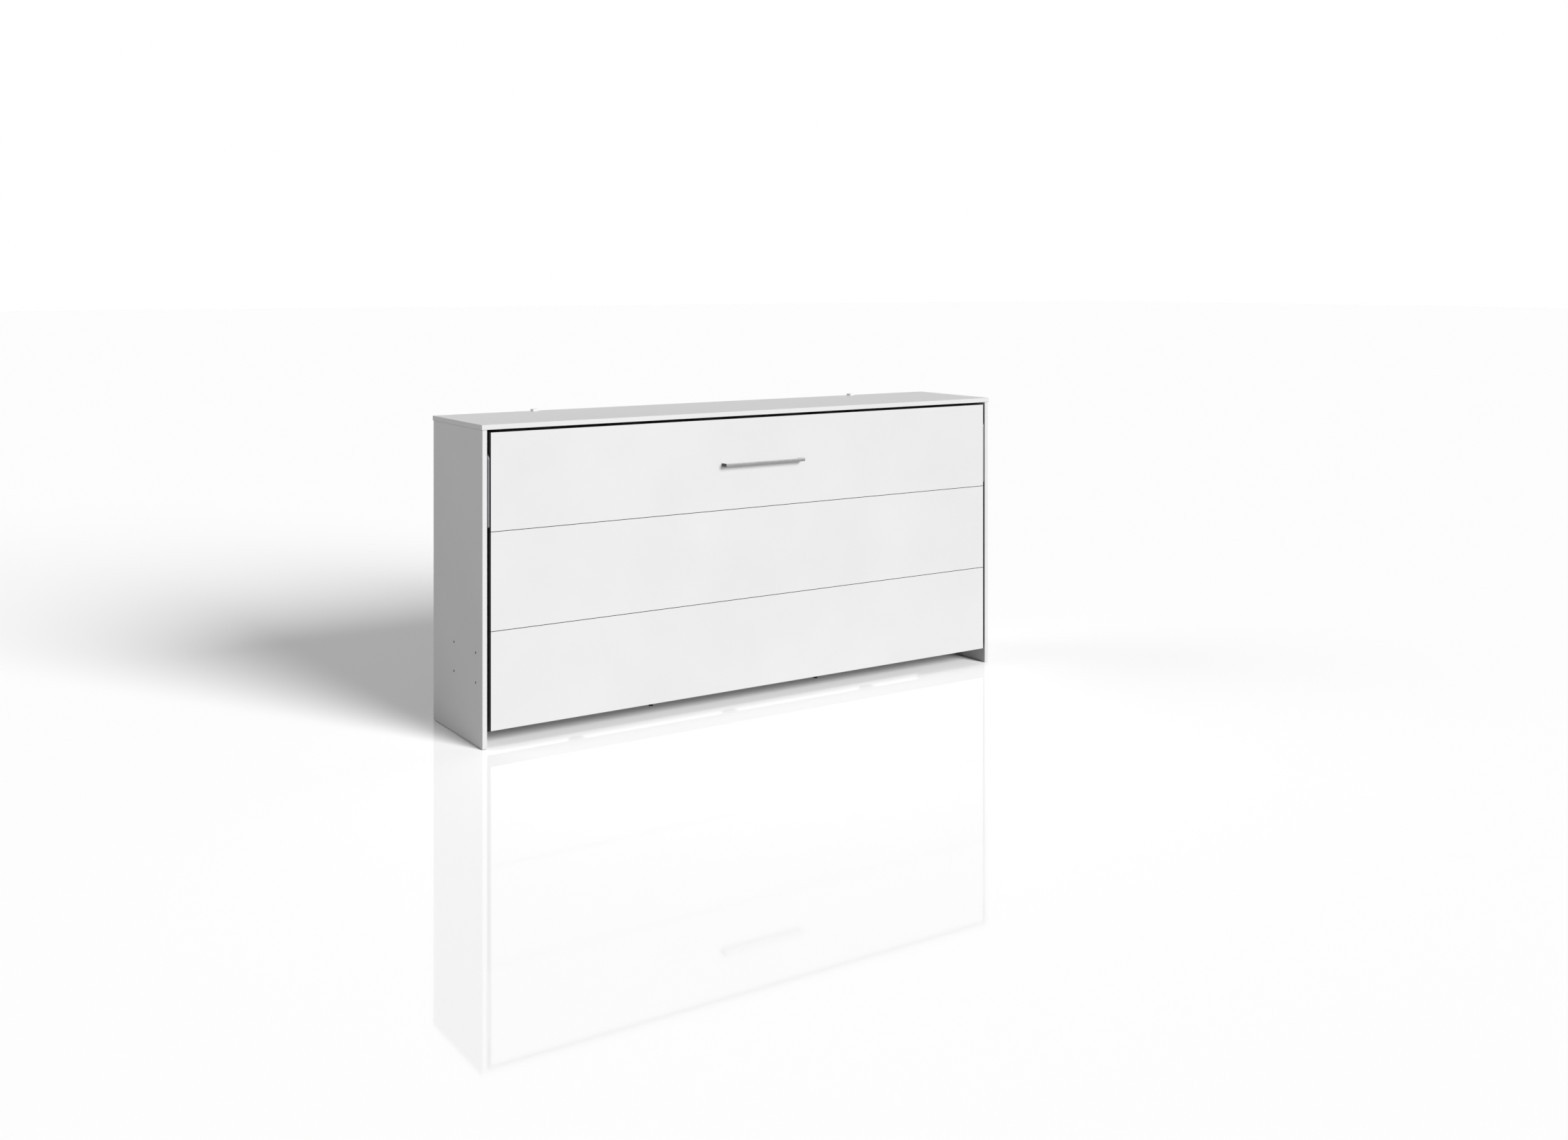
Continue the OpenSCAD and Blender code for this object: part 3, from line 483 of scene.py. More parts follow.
LAYER, GLUE_FROM, STRIPED_DEPTH = 0.0016, 0.84, 0.0034


def beech():
    """Fine grain on the faces, and on the edges a glue line where the last part of each layer begins."""
    lacquer = {"Roughness": 0.45, "Coat Weight": 0.12, "Coat Roughness": 0.3}
    material, tree, shader, place = new_finish("beech", lacquer)
    grain = use_group(tree, GRAIN, turned_to(tree, place, (0, 90, 0)), Rings=9.0, Stretch=0.03)
    face = colour_between(tree, grain.outputs["Rings"], (0.60, 0.39, 0.21), (0.72, 0.51, 0.31), 0.0, 1.0)
    depth = add(tree, "ShaderNodeSeparateXYZ")
    tree.links.new(add(tree, "ShaderNodeUVMap", uv_map="section").outputs[0], depth.inputs[0])
    layers = math_node(tree, "FRACT", math_node(tree, "DIVIDE", depth.outputs["Y"], LAYER))
    glue = math_node(tree, "GREATER_THAN", layers, GLUE_FROM)
    inside = math_node(tree, "ABSOLUTE", depth.outputs["Y"])
    edge = math_node(tree, "LESS_THAN", inside, STRIPED_DEPTH)
    striped(tree, shader, math_node(tree, "MULTIPLY", glue, edge), face, (0.30, 0.17, 0.08))
    bumped(tree, shader, grain.outputs["Pores"], 0.2, 0.0002)
    return material


# %% [markdown]
# ### Metals
#
# The handle is brushed along its length, so its highlight is drawn out across the brushing. Plated and drawn
# steel parts are only lightly marked. Painted and blackened steel is a dull dielectric coat over the metal.


# %% Metals
METAL_BUMP = {"strength": 0.3, "depth": 0.00008}


def metal(name, colours, roughness, streak_scale, turn=(0, 0, 0)):
    """Bare metal whose colour, roughness and height all follow the same fine streaks."""
    material, tree, shader, place = new_finish(name, {"Metallic": 1.0})
    brushing = use_group(tree, BRUSHING, turned_to(tree, place, turn), Fineness=streak_scale)
    streaks = brushing.outputs["Streaks"]
    coloured(tree, shader, streaks, *colours)
    roughened(tree, shader, streaks, *roughness)
    bumped(tree, shader, streaks, **METAL_BUMP)
    return material


def painted(name, colour, roughness, coat=0.0):
    """A coat of paint: the colour and four fifths of it, in slow patches, over a fine speckle."""
    material, tree, shader, place = new_finish(name, {"Coat Weight": coat, "Coat Roughness": 0.2})
    speckle = use_group(tree, SPECKLE, place, Fine=600.0, Broad=12.0)
    darker = tuple(0.8 * channel for channel in colour)
    coloured(tree, shader, speckle.outputs["Patch"], darker, colour)
    roughened(tree, shader, speckle.outputs["Patch"], roughness - 0.05, roughness + 0.05)
    bumped(tree, shader, speckle.outputs["Height"], 0.2, 0.0003)
    return material


# %% [markdown]
# ### Plastics, rubber and cloth
#
# Moulded plastic carries a fine spark-eroded texture. Rubber is rougher and slightly dusty. The mattress
# ticking is a knitted cloth with a soft sheen, and the straps are a coarse weave with threads about a
# millimetre wide, laid out on the strap's own UV map so that they follow its bends.


# %% Plastics, rubber and cloth
def moulded(name, colour, roughness):
    """Plastic or rubber: the colour and a slightly paler one, over a fine spark-eroded speckle."""
    material, tree, shader, place = new_finish(name, {})
    speckle = use_group(tree, SPECKLE, place, Fine=1400.0, Broad=25.0)
    paler = tuple(min(1.0, 1.15 * channel + 0.004) for channel in colour)
    coloured(tree, shader, speckle.outputs["Patch"], colour, paler)
    roughened(tree, shader, speckle.outputs["Height"], roughness - 0.08, roughness + 0.06)
    bumped(tree, shader, speckle.outputs["Height"], 0.35, 0.0002)
    return material


def ticking():
    """Knitted cover cloth: a fine weave turned by 45 degrees, with a speckle of lint."""
    cloth = {"Roughness": 0.88, "Sheen Weight": 0.25, "Sheen Roughness": 0.5, "Specular IOR Level": 0.25}
    material, tree, shader, place = new_finish("ticking", cloth)
    knit = use_group(tree, WEAVE, turned_to(tree, place, (90, 0, 45)), Threads=620.0)
    speckle = use_group(tree, SPECKLE, place, Fine=900.0, Broad=14.0)
    coloured(tree, shader, speckle.outputs["Patch"], (0.79, 0.78, 0.75), (0.85, 0.845, 0.82))
    height = math_node(tree, "ADD", knit.outputs["Height"], speckle.outputs["Height"])
    bumped(tree, shader, height, 0.35, 0.0005)
    return material


def webbing():
    """A plain weave on the band's own thread counts, with painted shade: darkest in the gaps between the
    threads.
    """
    cloth = {"Roughness": 0.7, "Sheen Weight": 0.2, "Sheen Roughness": 0.4}
    material, tree, shader = new_finish("webbing", cloth)[:3]
    thread_map = add(tree, "ShaderNodeUVMap", uv_map="threads").outputs[0]
    weave = use_group(tree, WEAVE, thread_map, Threads=1.0)
    # Painted shade: the colour follows the weave's height, darkest where the threads dip.
    coloured(tree, shader, weave.outputs["Height"], (0.012, 0.012, 0.013), (0.06, 0.06, 0.064), 0.1, 1.0)
    bumped(tree, shader, weave.outputs["Height"], 0.8, 0.0006)
    return material


# %% Every finish of the record, by slot
HANDLE_GREYS = (0.74 - 0.08,) * 3, (0.74 + 0.05,) * 3
ZINC_GREYS = (0.40, 0.42, 0.45), (0.52, 0.53, 0.55)
BRIGHT_GREYS = (0.50, 0.50, 0.51), (0.62, 0.62, 0.63)
UPRIGHT = (0, 90, 0)
finishes = {
    "white_board": melamine("white board", 0.80, 0.83),
    # The bed box's dark melamine is painted shade: it keeps the gaps round the front dark.
    "graphite_board": melamine("graphite board", 0.030, 0.036),
    "softwood": softwood(),
    "beech": beech(),
    "black_plastic": moulded("black plastic", (0.022, 0.022, 0.024), 0.5),
    "rubber": moulded("rubber", (0.018, 0.018, 0.018), 0.8),
    "white_plastic": moulded("white plastic", (0.84, 0.84, 0.84), 0.42),
    "zinc_steel": metal("zinc plated steel", ZINC_GREYS, (0.36, 0.46), 300.0, UPRIGHT),
    "bright_steel": metal("bright steel", BRIGHT_GREYS, (0.22, 0.34), 900.0, UPRIGHT),
    "brushed_metal": metal("brushed metal", HANDLE_GREYS, (0.22, 0.32), 2600.0),
    "dark_steel": painted("blackened steel", (0.06, 0.06, 0.065), 0.45),
    "black_paint": painted("black paint", (0.02, 0.02, 0.021), 0.35, coat=0.3),
    "mattress_cover": ticking(),
    "webbing": webbing(),
    "webbing_thread": painted("sewing thread", (0.10, 0.10, 0.105), 0.6),
}
print("finishes:", ", ".join(finishes))

# %% The frame's own pieces take the finish of their slot
for subpart in frame["record"]["subparts"]:
    node, slot = subpart["node"], subpart["material_slot"]
    node_mesh = frame["nodes"][node].data
    node_mesh.materials.clear()
    node_mesh.materials.append(front_board if node in FRONT_NODES else finishes[slot])

# %% [markdown]
# ## Handle
#
# The handle is a straight bar of nearly square section on two posts, brushed along its length. A dark cap on
# each end covers the bar's end face and the post's outer side: it is painted shade, where those faces fall
# dark.
# A milled bar has tiny rounded edges that catch a thin line of light, so bar, posts and caps are rounded
# outlines carried along straight paths. Each path has extra points close to its ends, and the outline shrinks
# a little there, which rounds the end faces too.


# %% Handle
def rounded_bar(low, high, axis, radius):
    """A box with round edges: at r * (1 - cos a) from an end the outline is drawn in by r * (1 - sin a)."""
    low, high = np.asarray(low, float), np.asarray(high, float)
    size = high - low
    others = [k for k in range(3) if k != axis]
    swing = np.linspace(0, np.pi / 2, 5)
    inset = radius * (1 - np.sin(swing))
    from_end = radius * (1 - np.cos(swing))
    reach = np.concatenate([from_end, size[axis] - from_end[::-1]])
    pinch = np.concatenate([inset, inset[::-1]])
    rings = []
    for s, p in zip(reach, pinch):
        width, height = size[others] - 2 * p
        outline = rounded_outline(width, height, max(radius - p, radius * 0.15))
        ring = np.zeros((len(outline), 3))
        ring[:, axis] = low[axis] + s
        ring[:, others[0]] = (low + size / 2)[others[0]] + outline[:, 0]
        ring[:, others[1]] = (low + size / 2)[others[1]] + outline[:, 1]
        rings.append(ring)
    points = np.concatenate(rings)
    return points, grid_faces(len(reach), len(rings[0])) + capped(len(reach), len(rings[0]))


SHADE_CAP_THICKNESS, GRIP_ROUND, FOOT_ROUND = 0.0014, 0.3 * 0.0009, 0.5 * 0.0009
bar_low, bar_high = corners_of("handle_bar")
posts_low, posts_high = corners_of("handle_posts")
post_w = posts_high[2] - posts_low[2]
under_shade_cap = 0.8 * np.array([SHADE_CAP_THICKNESS, 0, 0])
grip = rounded_bar(bar_low + under_shade_cap, bar_high - under_shade_cap, 0, GRIP_ROUND)
piece("handle_grip", *grip, "brushed_metal", "bed", ["handle_bar"])
left_post_end = [posts_low[0] + post_w, *posts_high[1:]]
right_post_start = [posts_high[0] - post_w, *posts_low[1:]]
feet = [rounded_bar(posts_low + under_shade_cap, left_post_end, 1, FOOT_ROUND),
        rounded_bar(right_post_start, posts_high - under_shade_cap, 1, FOOT_ROUND)]
piece("handle_feet", *joined(feet), "brushed_metal", "bed", ["handle_posts"])
# Dark caps over the handle's end faces and the posts' outer sides: painted shade, where the ends fall dark.
left_shade_cap_end = [bar_low[0] + SHADE_CAP_THICKNESS, posts_high[1], bar_high[2]]
right_shade_cap_start = [bar_high[0] - SHADE_CAP_THICKNESS, *bar_low[1:]]
dark_shade_caps = [rounded_bar(bar_low, left_shade_cap_end, 1, FOOT_ROUND),
          rounded_bar(right_shade_cap_start, [bar_high[0], posts_high[1], bar_high[2]], 1, FOOT_ROUND)]
piece("handle_end_plates", *joined(dark_shade_caps), "dark_steel", "bed")

# %% [markdown]
# ## Mattress
#
# A mattress is a padded block in a sewn cover: the faces crown, the long edges pull in between the corners,
# and a cord is sewn along every edge. Swelling a shell with the cloth solver gives the crown and the pull
# without guessing them. The shell starts a little too small, swells against a cap, and only then gets its
# quilting, because the solver and the remesh would wash such fine channels out.

# %% Mattress shell, swollen by the cloth solver
mattress_low, mattress_high = corners_of("mattress")
SHELL_INSET, SWELL_CAP = 0.009, 0.008
EDGE_ROUNDING, VOXEL = 0.028, 0.014
SOLVER_FRAMES = 20


def points_of(mesh):
    """The mesh's points as an array of one row each."""
    flat = np.zeros(3 * len(mesh.vertices), np.float64)
    mesh.vertices.foreach_get("co", flat)
    return flat.reshape(-1, 3)


def normals_of(mesh):
    """The direction of the surface at each point, as an array of one row each."""
    flat = np.zeros(3 * len(mesh.vertices), np.float32)
    mesh.vertex_normals.foreach_get("vector", flat)
    return flat.reshape(-1, 3)


def baked(obj):
    """The object's mesh with its modifiers applied, in place of its own."""
    mesh = bpy.data.meshes.new_from_object(obj.evaluated_get(bpy.context.evaluated_depsgraph_get()))
    obj.modifiers.clear()
    obj.data = mesh
    return mesh


def swell(obj):
    """Blows the shell up with the cloth solver, capping each point's way: old + way * min(1, cap / |way|)."""
    start = points_of(obj.data)
    cloth = obj.modifiers.new("cloth", "CLOTH")
    cloth.settings.quality = 4
    cloth.settings.use_pressure = True
    cloth.settings.uniform_pressure_force = 4
    cloth.settings.effector_weights.gravity = 0
    cloth.point_cache.frame_start, cloth.point_cache.frame_end = 1, SOLVER_FRAMES
    for frame_number in range(1, SOLVER_FRAMES + 1):
        bpy.context.scene.frame_set(frame_number)
    mesh = baked(obj)
    bpy.context.scene.frame_set(1)
    way = points_of(mesh) - start
    length = np.maximum(np.linalg.norm(way, axis=1, keepdims=True), 1e-9)
    mesh.vertices.foreach_set("co", (start + way * np.minimum(1, SWELL_CAP / length)).ravel())
    print("swollen by up to", round(float(min(length.max(), SWELL_CAP)), 4), "m")


shell_low, shell_high = mattress_low + SHELL_INSET, mattress_high - SHELL_INSET
shell_points, shell_faces = rounded_bar(shell_low, shell_high, 0, EDGE_ROUNDING)
shell_mesh = bpy.data.meshes.new("mattress_cover")
shell_mesh.from_pydata(shell_points.tolist(), [], shell_faces)
mattress = bpy.data.objects.new("mattress_cover", shell_mesh)
bpy.context.scene.collection.objects.link(mattress)
remesh = mattress.modifiers.new("remesh", "REMESH")
remesh.mode, remesh.voxel_size = "VOXEL", VOXEL
baked(mattress)
swell(mattress)
smooth = mattress.modifiers.new("smooth", "SUBSURF")
smooth.levels = smooth.render_levels = 1
baked(mattress)
print("mattress shell:", len(mattress.data.polygons), "faces")

# %% [markdown]
# ### Quilting, the straps' grooves and the sewn edge
#
# The quilted faces are sewn through in diamonds, so the surface dips along two sets of slanted seams and
# crowns between them. Each strap pulls its own shallow groove. The cord along each edge follows the swollen
# cover: a rounded rectangle finds its nearest points on the cover, and their places are evened out.

# %% Quilting and grooves
QUILT_PITCH, QUILT_DEPTH = 0.115, 0.0042
STRAP_PLACES, STRAP_WIDTH, STRAP_THICKNESS = (-0.62, 0.0, 0.62), 0.040, 0.0016
STRAP_SINK = 0.0045


def soft_step(value, low, high):
    """0 below low, 1 above high, and t * t * (3 - 2 t) between them."""
    t = np.clip((value - low) / (high - low), 0, 1)
    return t * t * (3 - 2 * t)


cover = mattress.data
place, facing = points_of(cover), normals_of(cover)
slant_a = (place[:, 0] + place[:, 2]) / QUILT_PITCH
slant_b = (place[:, 0] - place[:, 2]) / QUILT_PITCH
crown = np.abs(np.sin(np.pi * slant_a) * np.sin(np.pi * slant_b)) ** 0.4
on_faces = soft_step(np.abs(facing[:, 1]), 0.75, 0.97)
place[:, 1] -= np.sign(facing[:, 1]) * on_faces * QUILT_DEPTH * (1 - crown)
away = np.min(np.abs(place[:, :1] - np.array(STRAP_PLACES)), axis=1)
groove = 1 - soft_step(away, STRAP_WIDTH / 2 + 0.002, STRAP_WIDTH / 2 + 0.045)
groove_floor = mattress_high[1] - STRAP_SINK - STRAP_THICKNESS / 2 - 0.0006
pressed = np.minimum(place[:, 1], groove_floor)
place[:, 1] = np.where(place[:, 1] > 0, place[:, 1] + groove * (pressed - place[:, 1]), place[:, 1])
cover.vertices.foreach_set("co", place.ravel())
cover.update()
finish_piece(mattress, "mattress_cover", "bed", ["mattress"], 60)

# %% Sewn cord along the mattress's edges
CORD_RADIUS = 0.0032
GUIDE_INSET, GUIDE_BELOW_FACE, GUIDE_ROUNDING, GUIDE_POINTS = 0.02, 0.009, 0.04, 520


def evened(values, reach=6):
    """A running mean round a closed row of points."""
    shifted = [np.roll(values, step, axis=0) for step in range(-reach, reach + 1)]
    return np.mean(shifted, axis=0)


def edge_cord(face_y, outwards):
    """A round cord on the cover, beside the face at that height and half sunk into the cover's rounding."""
    half = (mattress_high - mattress_low) / 2
    middle = (mattress_high + mattress_low) / 2
    outline = rounded_outline(2 * half[0] - GUIDE_INSET, 2 * half[2] - GUIDE_INSET, GUIDE_ROUNDING, 9)
    outline = np.concatenate([outline, outline[:1]])
    along = travelled(outline)
    even = np.linspace(0, along[-1], GUIDE_POINTS, endpoint=False)
    guide = np.stack([middle[0] + np.interp(even, along, outline[:, 0]),
                      np.full(len(even), face_y - outwards * GUIDE_BELOW_FACE),
                      middle[2] + np.interp(even, along, outline[:, 1])], 1)
    near = place[np.abs(facing[:, 1] * outwards - 0.7) < 0.2]
    gap = np.linalg.norm(guide[:, None] - near[None], axis=2)
    path = evened(near[np.argmin(gap, axis=1)], 4)
    circle = np.linspace(0, 2 * np.pi, 10, endpoint=False)
    profile = CORD_RADIUS * np.stack([np.cos(circle), np.sin(circle)], 1)
    return carried(path, (0, 1, 0), profile, closed=True)


cords = joined([edge_cord(mattress_high[1], 1), edge_cord(mattress_low[1], -1)])
piece("mattress_edge_cords", *cords, "mattress_cover", "bed", sharp_degrees=80)

# %% [markdown]
# ## Straps and buckles
#
# Three webbing straps hold the mattress when the bed stands on edge. Webbing is a flat woven band, so each
# one is a thin rounded profile carried along a path with soft bends. Its UV map counts threads along and
# across, so the weave turns with the band. The loose end comes up through the buckle's frame, crosses its two
# bars and lies on the strap.


# %% Paths with soft bends, and webbing
def path_through(corners, radius, steps=6):
    """Straight runs joined by curves: near a corner c, between a and b, (1-t)^2 a + 2 t (1-t) c + t^2 b."""
    corners = [np.asarray(corner, float) for corner in corners]
    t = np.linspace(0, 1, steps)[:, None]
    parts = [corners[0][None]]
    for before, corner, after in zip(corners, corners[1:], corners[2:]):
        a = corner + radius * (before - corner) / np.linalg.norm(before - corner)
        b = corner + radius * (after - corner) / np.linalg.norm(after - corner)
        parts.append((1 - t) ** 2 * a + 2 * t * (1 - t) * corner + t ** 2 * b)
    parts.append(corners[-1][None])
    return np.concatenate(parts)


THREAD_ALONG, THREAD_ACROSS = 0.0022, 0.0016


def webbing_band(path, width, thickness):
    """A band and its thread counts: distance along the path and round the profile, each over one thread."""
    profile = rounded_outline(thickness, width, thickness * 0.45, 3)
    profile = np.concatenate([profile, profile[:1]])
    points, _ = carried(path, (1, 0, 0), profile)
    last = (len(path) - 1) * len(profile)
    ends = [list(range(len(profile) - 1))[::-1], list(range(last, last + len(profile) - 1))]
    faces = grid_faces(len(path), len(profile), close_columns=False) + ends
    along, around = travelled(path) / THREAD_ALONG, travelled(profile) / THREAD_ACROSS
    threads = np.stack(np.meshgrid(along, around, indexing="ij"), -1).reshape(-1, 2)
    return points, faces, threads


def joined_bands(bands):
    """Several bands as one, with their thread counts."""
    points, faces = joined([band[:2] for band in bands])
    return points, faces, np.concatenate([band[2] for band in bands])


# %% The three straps
straps_low, straps_high = corners_of("mattress_straps")
buckles_low, buckles_high = corners_of("strap_buckles")
buckle_z = (buckles_low[2] + buckles_high[2]) / 2
strap_y = mattress_high[1] - STRAP_SINK
half_t = STRAP_THICKNESS / 2
BAR_RISE = 0.0095


def strap(x):
    """Along the lower rail, round the mattress's edge, up its back, and the same again at the top."""
    low, high = straps_low[2] + half_t, straps_high[2] - half_t
    corners = [(x, straps_low[1], low), (x, strap_y, low), (x, strap_y, high), (x, straps_low[1], high)]
    return webbing_band(path_through(corners, 0.022, 8), STRAP_WIDTH, STRAP_THICKNESS)


def loose_end(x):
    """Up behind the frame, over the two bars, and down on the strap to a free end."""
    near, over = strap_y + STRAP_THICKNESS + 0.0004, strap_y + 0.0098
    steps = [(near, 0.060), (near, 0.024), (over, BAR_RISE), (near + 0.001, 0.0),
             (over, -BAR_RISE), (near, -0.026), (near, -0.150)]
    corners = [(x, y, buckle_z + rise) for y, rise in steps]
    return webbing_band(path_through(corners, 0.004, 5), STRAP_WIDTH * 0.94, STRAP_THICKNESS)


points, faces, threads = joined_bands([strap(x) for x in STRAP_PLACES])
piece("mattress_webbing", points, faces, "webbing", "bed", ["mattress_straps"], 60, uv=("threads", threads))
points, faces, threads = joined_bands([loose_end(x) for x in STRAP_PLACES])
piece("webbing_loose_ends", points, faces, "webbing", "bed", sharp_degrees=60, uv=("threads", threads))

# %% Buckles
BUCKLE_BAR, BUCKLE_LIFT, BUCKLE_W, BUCKLE_H = 0.0048, 0.0062, 0.0452, 0.0388
CROSS_BAR_HALF = np.array([0.0215, 0.002, 0.0022])


def buckle(x):
    """A rounded frame carried round a closed outline, and two bars across it."""
    y = strap_y + BUCKLE_LIFT
    outline = rounded_outline(BUCKLE_W, BUCKLE_H, 0.006, 6)
    path = np.stack([x + outline[:, 0], np.full(len(outline), y), buckle_z + outline[:, 1]], 1)
    ring = carried(path, (0, 1, 0), rounded_outline(BUCKLE_BAR, BUCKLE_BAR, 0.0018, 4), closed=True)
    middles = [np.array([x, y, buckle_z + rise]) for rise in (-BAR_RISE, BAR_RISE)]
    bars = [rounded_bar(middle - CROSS_BAR_HALF, middle + CROSS_BAR_HALF, 0, 0.0016) for middle in middles]
    return joined([ring, *bars])


piece("strap_frames", *joined([buckle(x) for x in STRAP_PLACES]), "black_plastic", "bed", ["strap_buckles"])

# %% Stitches where the loose ends are hemmed
STITCH_LENGTH, STITCH_RADIUS = 0.0034, 0.0005
HEM_HALF, HEM_LOW, HEM_HIGH = 0.014, 0.143, 0.122


def stitch_row(start, end, out):
    """Short round threads in a row: each is a turned spindle, a little sunk at both ends."""
    start, end, out = (np.asarray(value, float) for value in (start, end, out))
    count = max(1, int(np.linalg.norm(end - start) / (STITCH_LENGTH * 1.35)))
    step = (end - start) / count
    spindle = [(0.0, 0.1 * STITCH_RADIUS), (0.25 * STITCH_LENGTH, STITCH_RADIUS),
               (0.75 * STITCH_LENGTH, STITCH_RADIUS), (STITCH_LENGTH, 0.1 * STITCH_RADIUS)]
    along = step / np.linalg.norm(step) * STITCH_LENGTH
    return [turned(start + k * step + out, start + k * step + out + along, spindle, 6) for k in range(count)]


def hem_stitches(x):
    """A box of four rows near the free end of the loose webbing."""
    face = strap_y + STRAP_THICKNESS + 0.0004 + half_t
    left, right = x - HEM_HALF, x + HEM_HALF
    low, high = buckle_z - HEM_LOW, buckle_z - HEM_HIGH
    around = [(left, low), (right, low), (right, high), (left, high), (left, low)]
    corners = [(across, face, up) for across, up in around]
    return [part for a, b in zip(corners, corners[1:]) for part in stitch_row(a, b, (0, 0.0001, 0))]


stitches = joined([part for x in STRAP_PLACES for part in hem_stitches(x)])
piece("webbing_stitches", *stitches, "webbing_thread", "bed")

# %% [markdown]
# ## Slats
#
# Sprung slats are glued up from thin beech layers over a curved mould, so each one bows a few millimetres
# towards the mattress. A thin rounded section carried along a shallow parabola gives the bow. The section's
# own two coordinates are kept in a UV map, so that the glue lines stay parallel to the bent faces.

# %% Slats
SLAT_COUNT, SLAT_BOW, SLAT_STEPS = 16, 0.0058, 25
slats_low, slats_high = corners_of("slats")
SLAT_WIDTH, SLAT_THICKNESS = 0.065, slats_high[1] - slats_low[1]


def bowed_slat(x):
    """Section carried up the bed along y = middle + bow * (1 - (2 t - 1)^2)."""
    t = np.linspace(0, 1, SLAT_STEPS)
    middle = (slats_low[1] + slats_high[1]) / 2 + SLAT_BOW * (1 - (2 * t - 1) ** 2)
    path = np.stack([np.full(len(t), x), middle, slats_low[2] + t * (slats_high[2] - slats_low[2])], 1)
    return carried(path, (1, 0, 0), rounded_outline(SLAT_THICKNESS, SLAT_WIDTH, 0.0022, 4))


slat_centres = np.linspace(slats_low[0] + SLAT_WIDTH / 2, slats_high[0] - SLAT_WIDTH / 2, SLAT_COUNT)
slat_points, slat_faces = joined([bowed_slat(x) for x in slat_centres])
rings = slat_points.reshape(SLAT_COUNT, SLAT_STEPS, -1, 3)
from_centre = rings[..., 0] - slat_centres[:, None, None]
from_bow = rings[..., 1] - rings[..., 1].mean(axis=2, keepdims=True)
section = np.stack([from_centre, from_bow], -1).reshape(-1, 2)
piece("bowed_slats", slat_points, slat_faces, "beech", "bed", ["slats"], uv=("section", section))

# %% [markdown]
# ## Gas struts
#
# A gas strut's tube is rolled in at both ends to hold its seals, and a groove is rolled in a little below the
# mouth. That outline, spun about the line between the two studs, gives the painted tube. Its lower eye is a
# ring with bevelled rims, spun about the stud's own axis.


# %% Struts
def spun_ring(centre, outline, sides=40):
    """A closed outline of (distance along X, radius) spun about an X axis through the centre."""
    angle = np.linspace(0, 2 * np.pi, sides, endpoint=False)
    x, radius = np.asarray(outline, float).T
    across = np.broadcast_to(centre[0] + x[:, None], (len(x), sides))
    back, up = centre[1] + radius[:, None] * np.cos(angle), centre[2] + radius[:, None] * np.sin(angle)
    points = np.stack([across, back, up], -1)
    return points.reshape(-1, 3), grid_faces(len(x), sides, close_rows=True)


def box_middle(node):
    """The middle of a node's box."""
    low, high = corners_of(node)
    return (low + high) / 2


TUBE_OUTLINE = [(0.0060, 0.0036), (0.0155, 0.0036), (0.0160, 0.0048), (0.0172, 0.0057), (0.0190, 0.0060),
                (0.2630, 0.0060), (0.2640, 0.0057), (0.2652, 0.0055), (0.2664, 0.0057), (0.2674, 0.0060),
                (0.2800, 0.0060), (0.2835, 0.0057), (0.2852, 0.0050), (0.2860, 0.0040), (0.2860, 0.0031)]
EYE_OUTLINE = [(-0.0045, 0.0042), (0.0045, 0.0042), (0.0045, 0.0074), (0.0039, 0.0080),
               (-0.0039, 0.0080), (-0.0045, 0.0074)]
low_stud, high_stud = box_middle("strut_lower_studs"), box_middle("strut_upper_studs")
for side in ("left", "right"):
    x = box_middle(f"strut_rod_{side}")[0]
    foot, head = np.array([x, *low_stud[1:]]), np.array([x, *high_stud[1:]])
    tube = joined([turned(foot, head, TUBE_OUTLINE), spun_ring(foot, EYE_OUTLINE)])
    piece(f"strut_barrel_{side}", *tube, "black_paint", f"strut_barrel_{side}", [f"strut_tube_{side}"])

# %% [markdown]
# ## Light and floor
#
# A wide soft key stands in front, a little to the right and rather low. It makes the front nearly white,
# grazes the top and throws the long shadow behind. A much weaker light from behind on the left and an even
# sky fill the left side up to a middle grey. Wide suns give the same soft shadow edges as studio panels, and
# they light the floor evenly, so no horizon shows. One more light lies in the key's direction and reaches the
# floor alone, through light linking, because the floor has to be white while its shadow stays a clear grey.
# The floor is polished for the camera, but it throws less light back at the bed, as a dark studio beyond it
# would. The lights are hidden from mirrors, or the polish would show them as bright discs with hard edges.

# %% Light and floor
SKY_SEEN, SKY_FILL = 1.0, 0.25
KEY = {"towards": (0.30, -1.0, 0.42), "strength": 2.54, "spread": 27}
BACK = {"towards": (-0.70, 0.47, 0.60), "strength": 0.38, "spread": 30}
FLOOR_KEY = dict(KEY, strength=3.5)
FLOOR_SEEN, FLOOR_BOUNCE, FLOOR_POLISH, FLOOR_REACH = 0.94, 0.39, 0.15, 80.0


def make_sky():
    """White where it is seen or mirrored, and a weaker even fill for everything that it lights."""
    world = bpy.data.worlds.new("studio")
    world.use_nodes = True
    tree = world.node_tree
    back = tree.nodes["Background"]
    back.inputs["Color"].default_value = (1, 1, 1, 1)
    lights = add(tree, "ShaderNodeLightPath").outputs["Is Diffuse Ray"]
    tree.links.new(value_between(tree, lights, SKY_SEEN, SKY_FILL, 0.0, 1.0), back.inputs["Strength"])
    bpy.context.scene.world = world


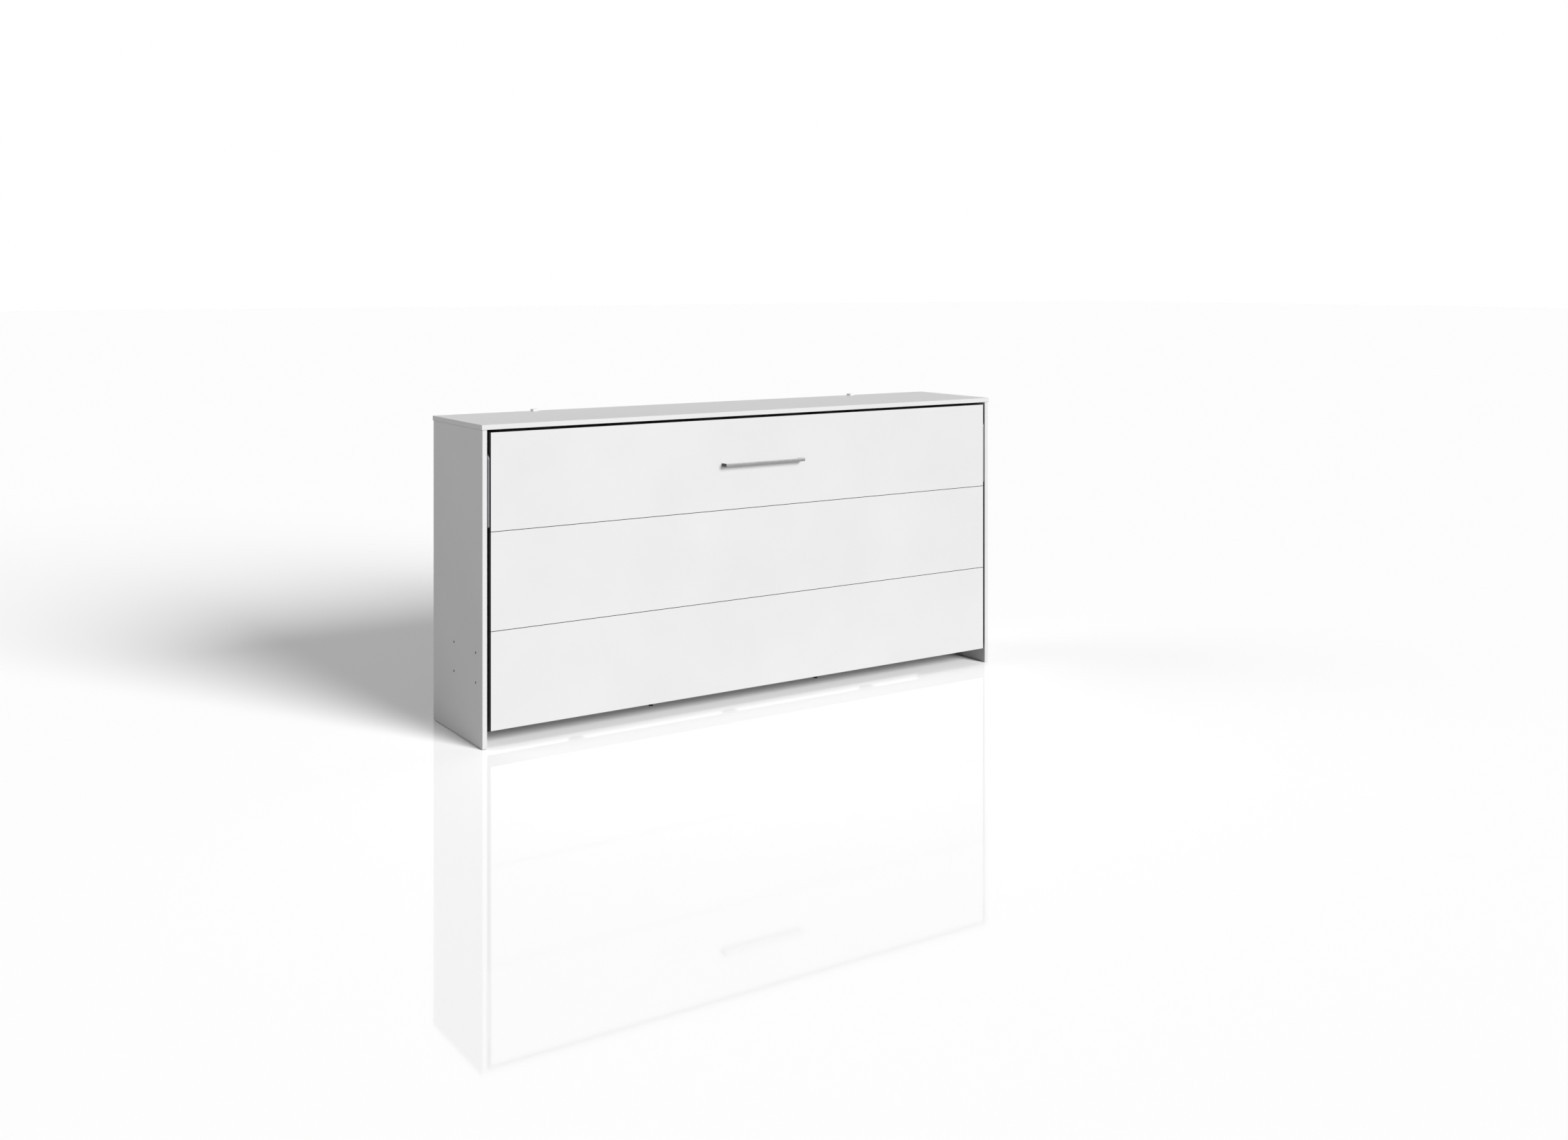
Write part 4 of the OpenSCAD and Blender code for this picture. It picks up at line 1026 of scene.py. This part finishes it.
def make_light(name, towards, strength, spread):
    """A sun in that direction: turned about X by the angle from straight down, then about Z."""
    data = bpy.data.lights.new(name, "SUN")
    data.energy, data.angle = strength, math.radians(spread)
    light = bpy.data.objects.new(name, data)
    x, y, z = towards
    light.rotation_euler = (math.atan2(math.hypot(x, y), z), 0, math.atan2(x, -y))
    light.location = [4 * value for value in towards]
    light.visible_glossy = False
    bpy.context.scene.collection.objects.link(light)
    return light


def make_floor():
    """A large plane. The camera sees it bright with a weak mirror; other rays meet it as a duller white."""
    mesh = bpy.data.meshes.new("floor")
    corners = [(x * FLOOR_REACH, y * FLOOR_REACH, 0) for x, y in ((-1, -1), (1, -1), (1, 1), (-1, 1))]
    mesh.from_pydata(corners, [], [(0, 1, 2, 3)])
    floor = bpy.data.objects.new("floor", mesh)
    material = bpy.data.materials.new("floor")
    material.use_nodes = True
    tree = material.node_tree
    tree.nodes.remove(tree.nodes["Principled BSDF"])
    seen = add(tree, "ShaderNodeBsdfDiffuse", {"Color": (FLOOR_SEEN,) * 3 + (1,)})
    bounce = add(tree, "ShaderNodeBsdfDiffuse", {"Color": (FLOOR_BOUNCE,) * 3 + (1,)})
    mirror = add(tree, "ShaderNodeBsdfAnisotropic", {"Color": (1, 1, 1, 1), "Roughness": 0.04})
    polish = add(tree, "ShaderNodeMixShader", {0: FLOOR_POLISH})
    tree.links.new(seen.outputs[0], polish.inputs[1])
    tree.links.new(mirror.outputs[0], polish.inputs[2])
    choice = add(tree, "ShaderNodeMixShader")
    tree.links.new(add(tree, "ShaderNodeLightPath").outputs["Is Camera Ray"], choice.inputs[0])
    tree.links.new(bounce.outputs[0], choice.inputs[1])
    tree.links.new(polish.outputs[0], choice.inputs[2])
    tree.links.new(choice.outputs[0], tree.nodes["Material Output"].inputs["Surface"])
    mesh.materials.append(material)
    bpy.context.scene.collection.objects.link(floor)
    return floor


make_sky()
make_light("key", **KEY)
make_light("back light", **BACK)
floor = make_floor()
floor_only = bpy.data.collections.new("lit by the floor light")
floor_only.objects.link(floor)
make_light("floor light", **FLOOR_KEY).light_linking.receiver_collection = floor_only
bpy.context.scene.view_settings.view_transform = "Standard"
print("stage ready")

# %% Bring the view layer up to date, and finish
bpy.context.view_layer.update()
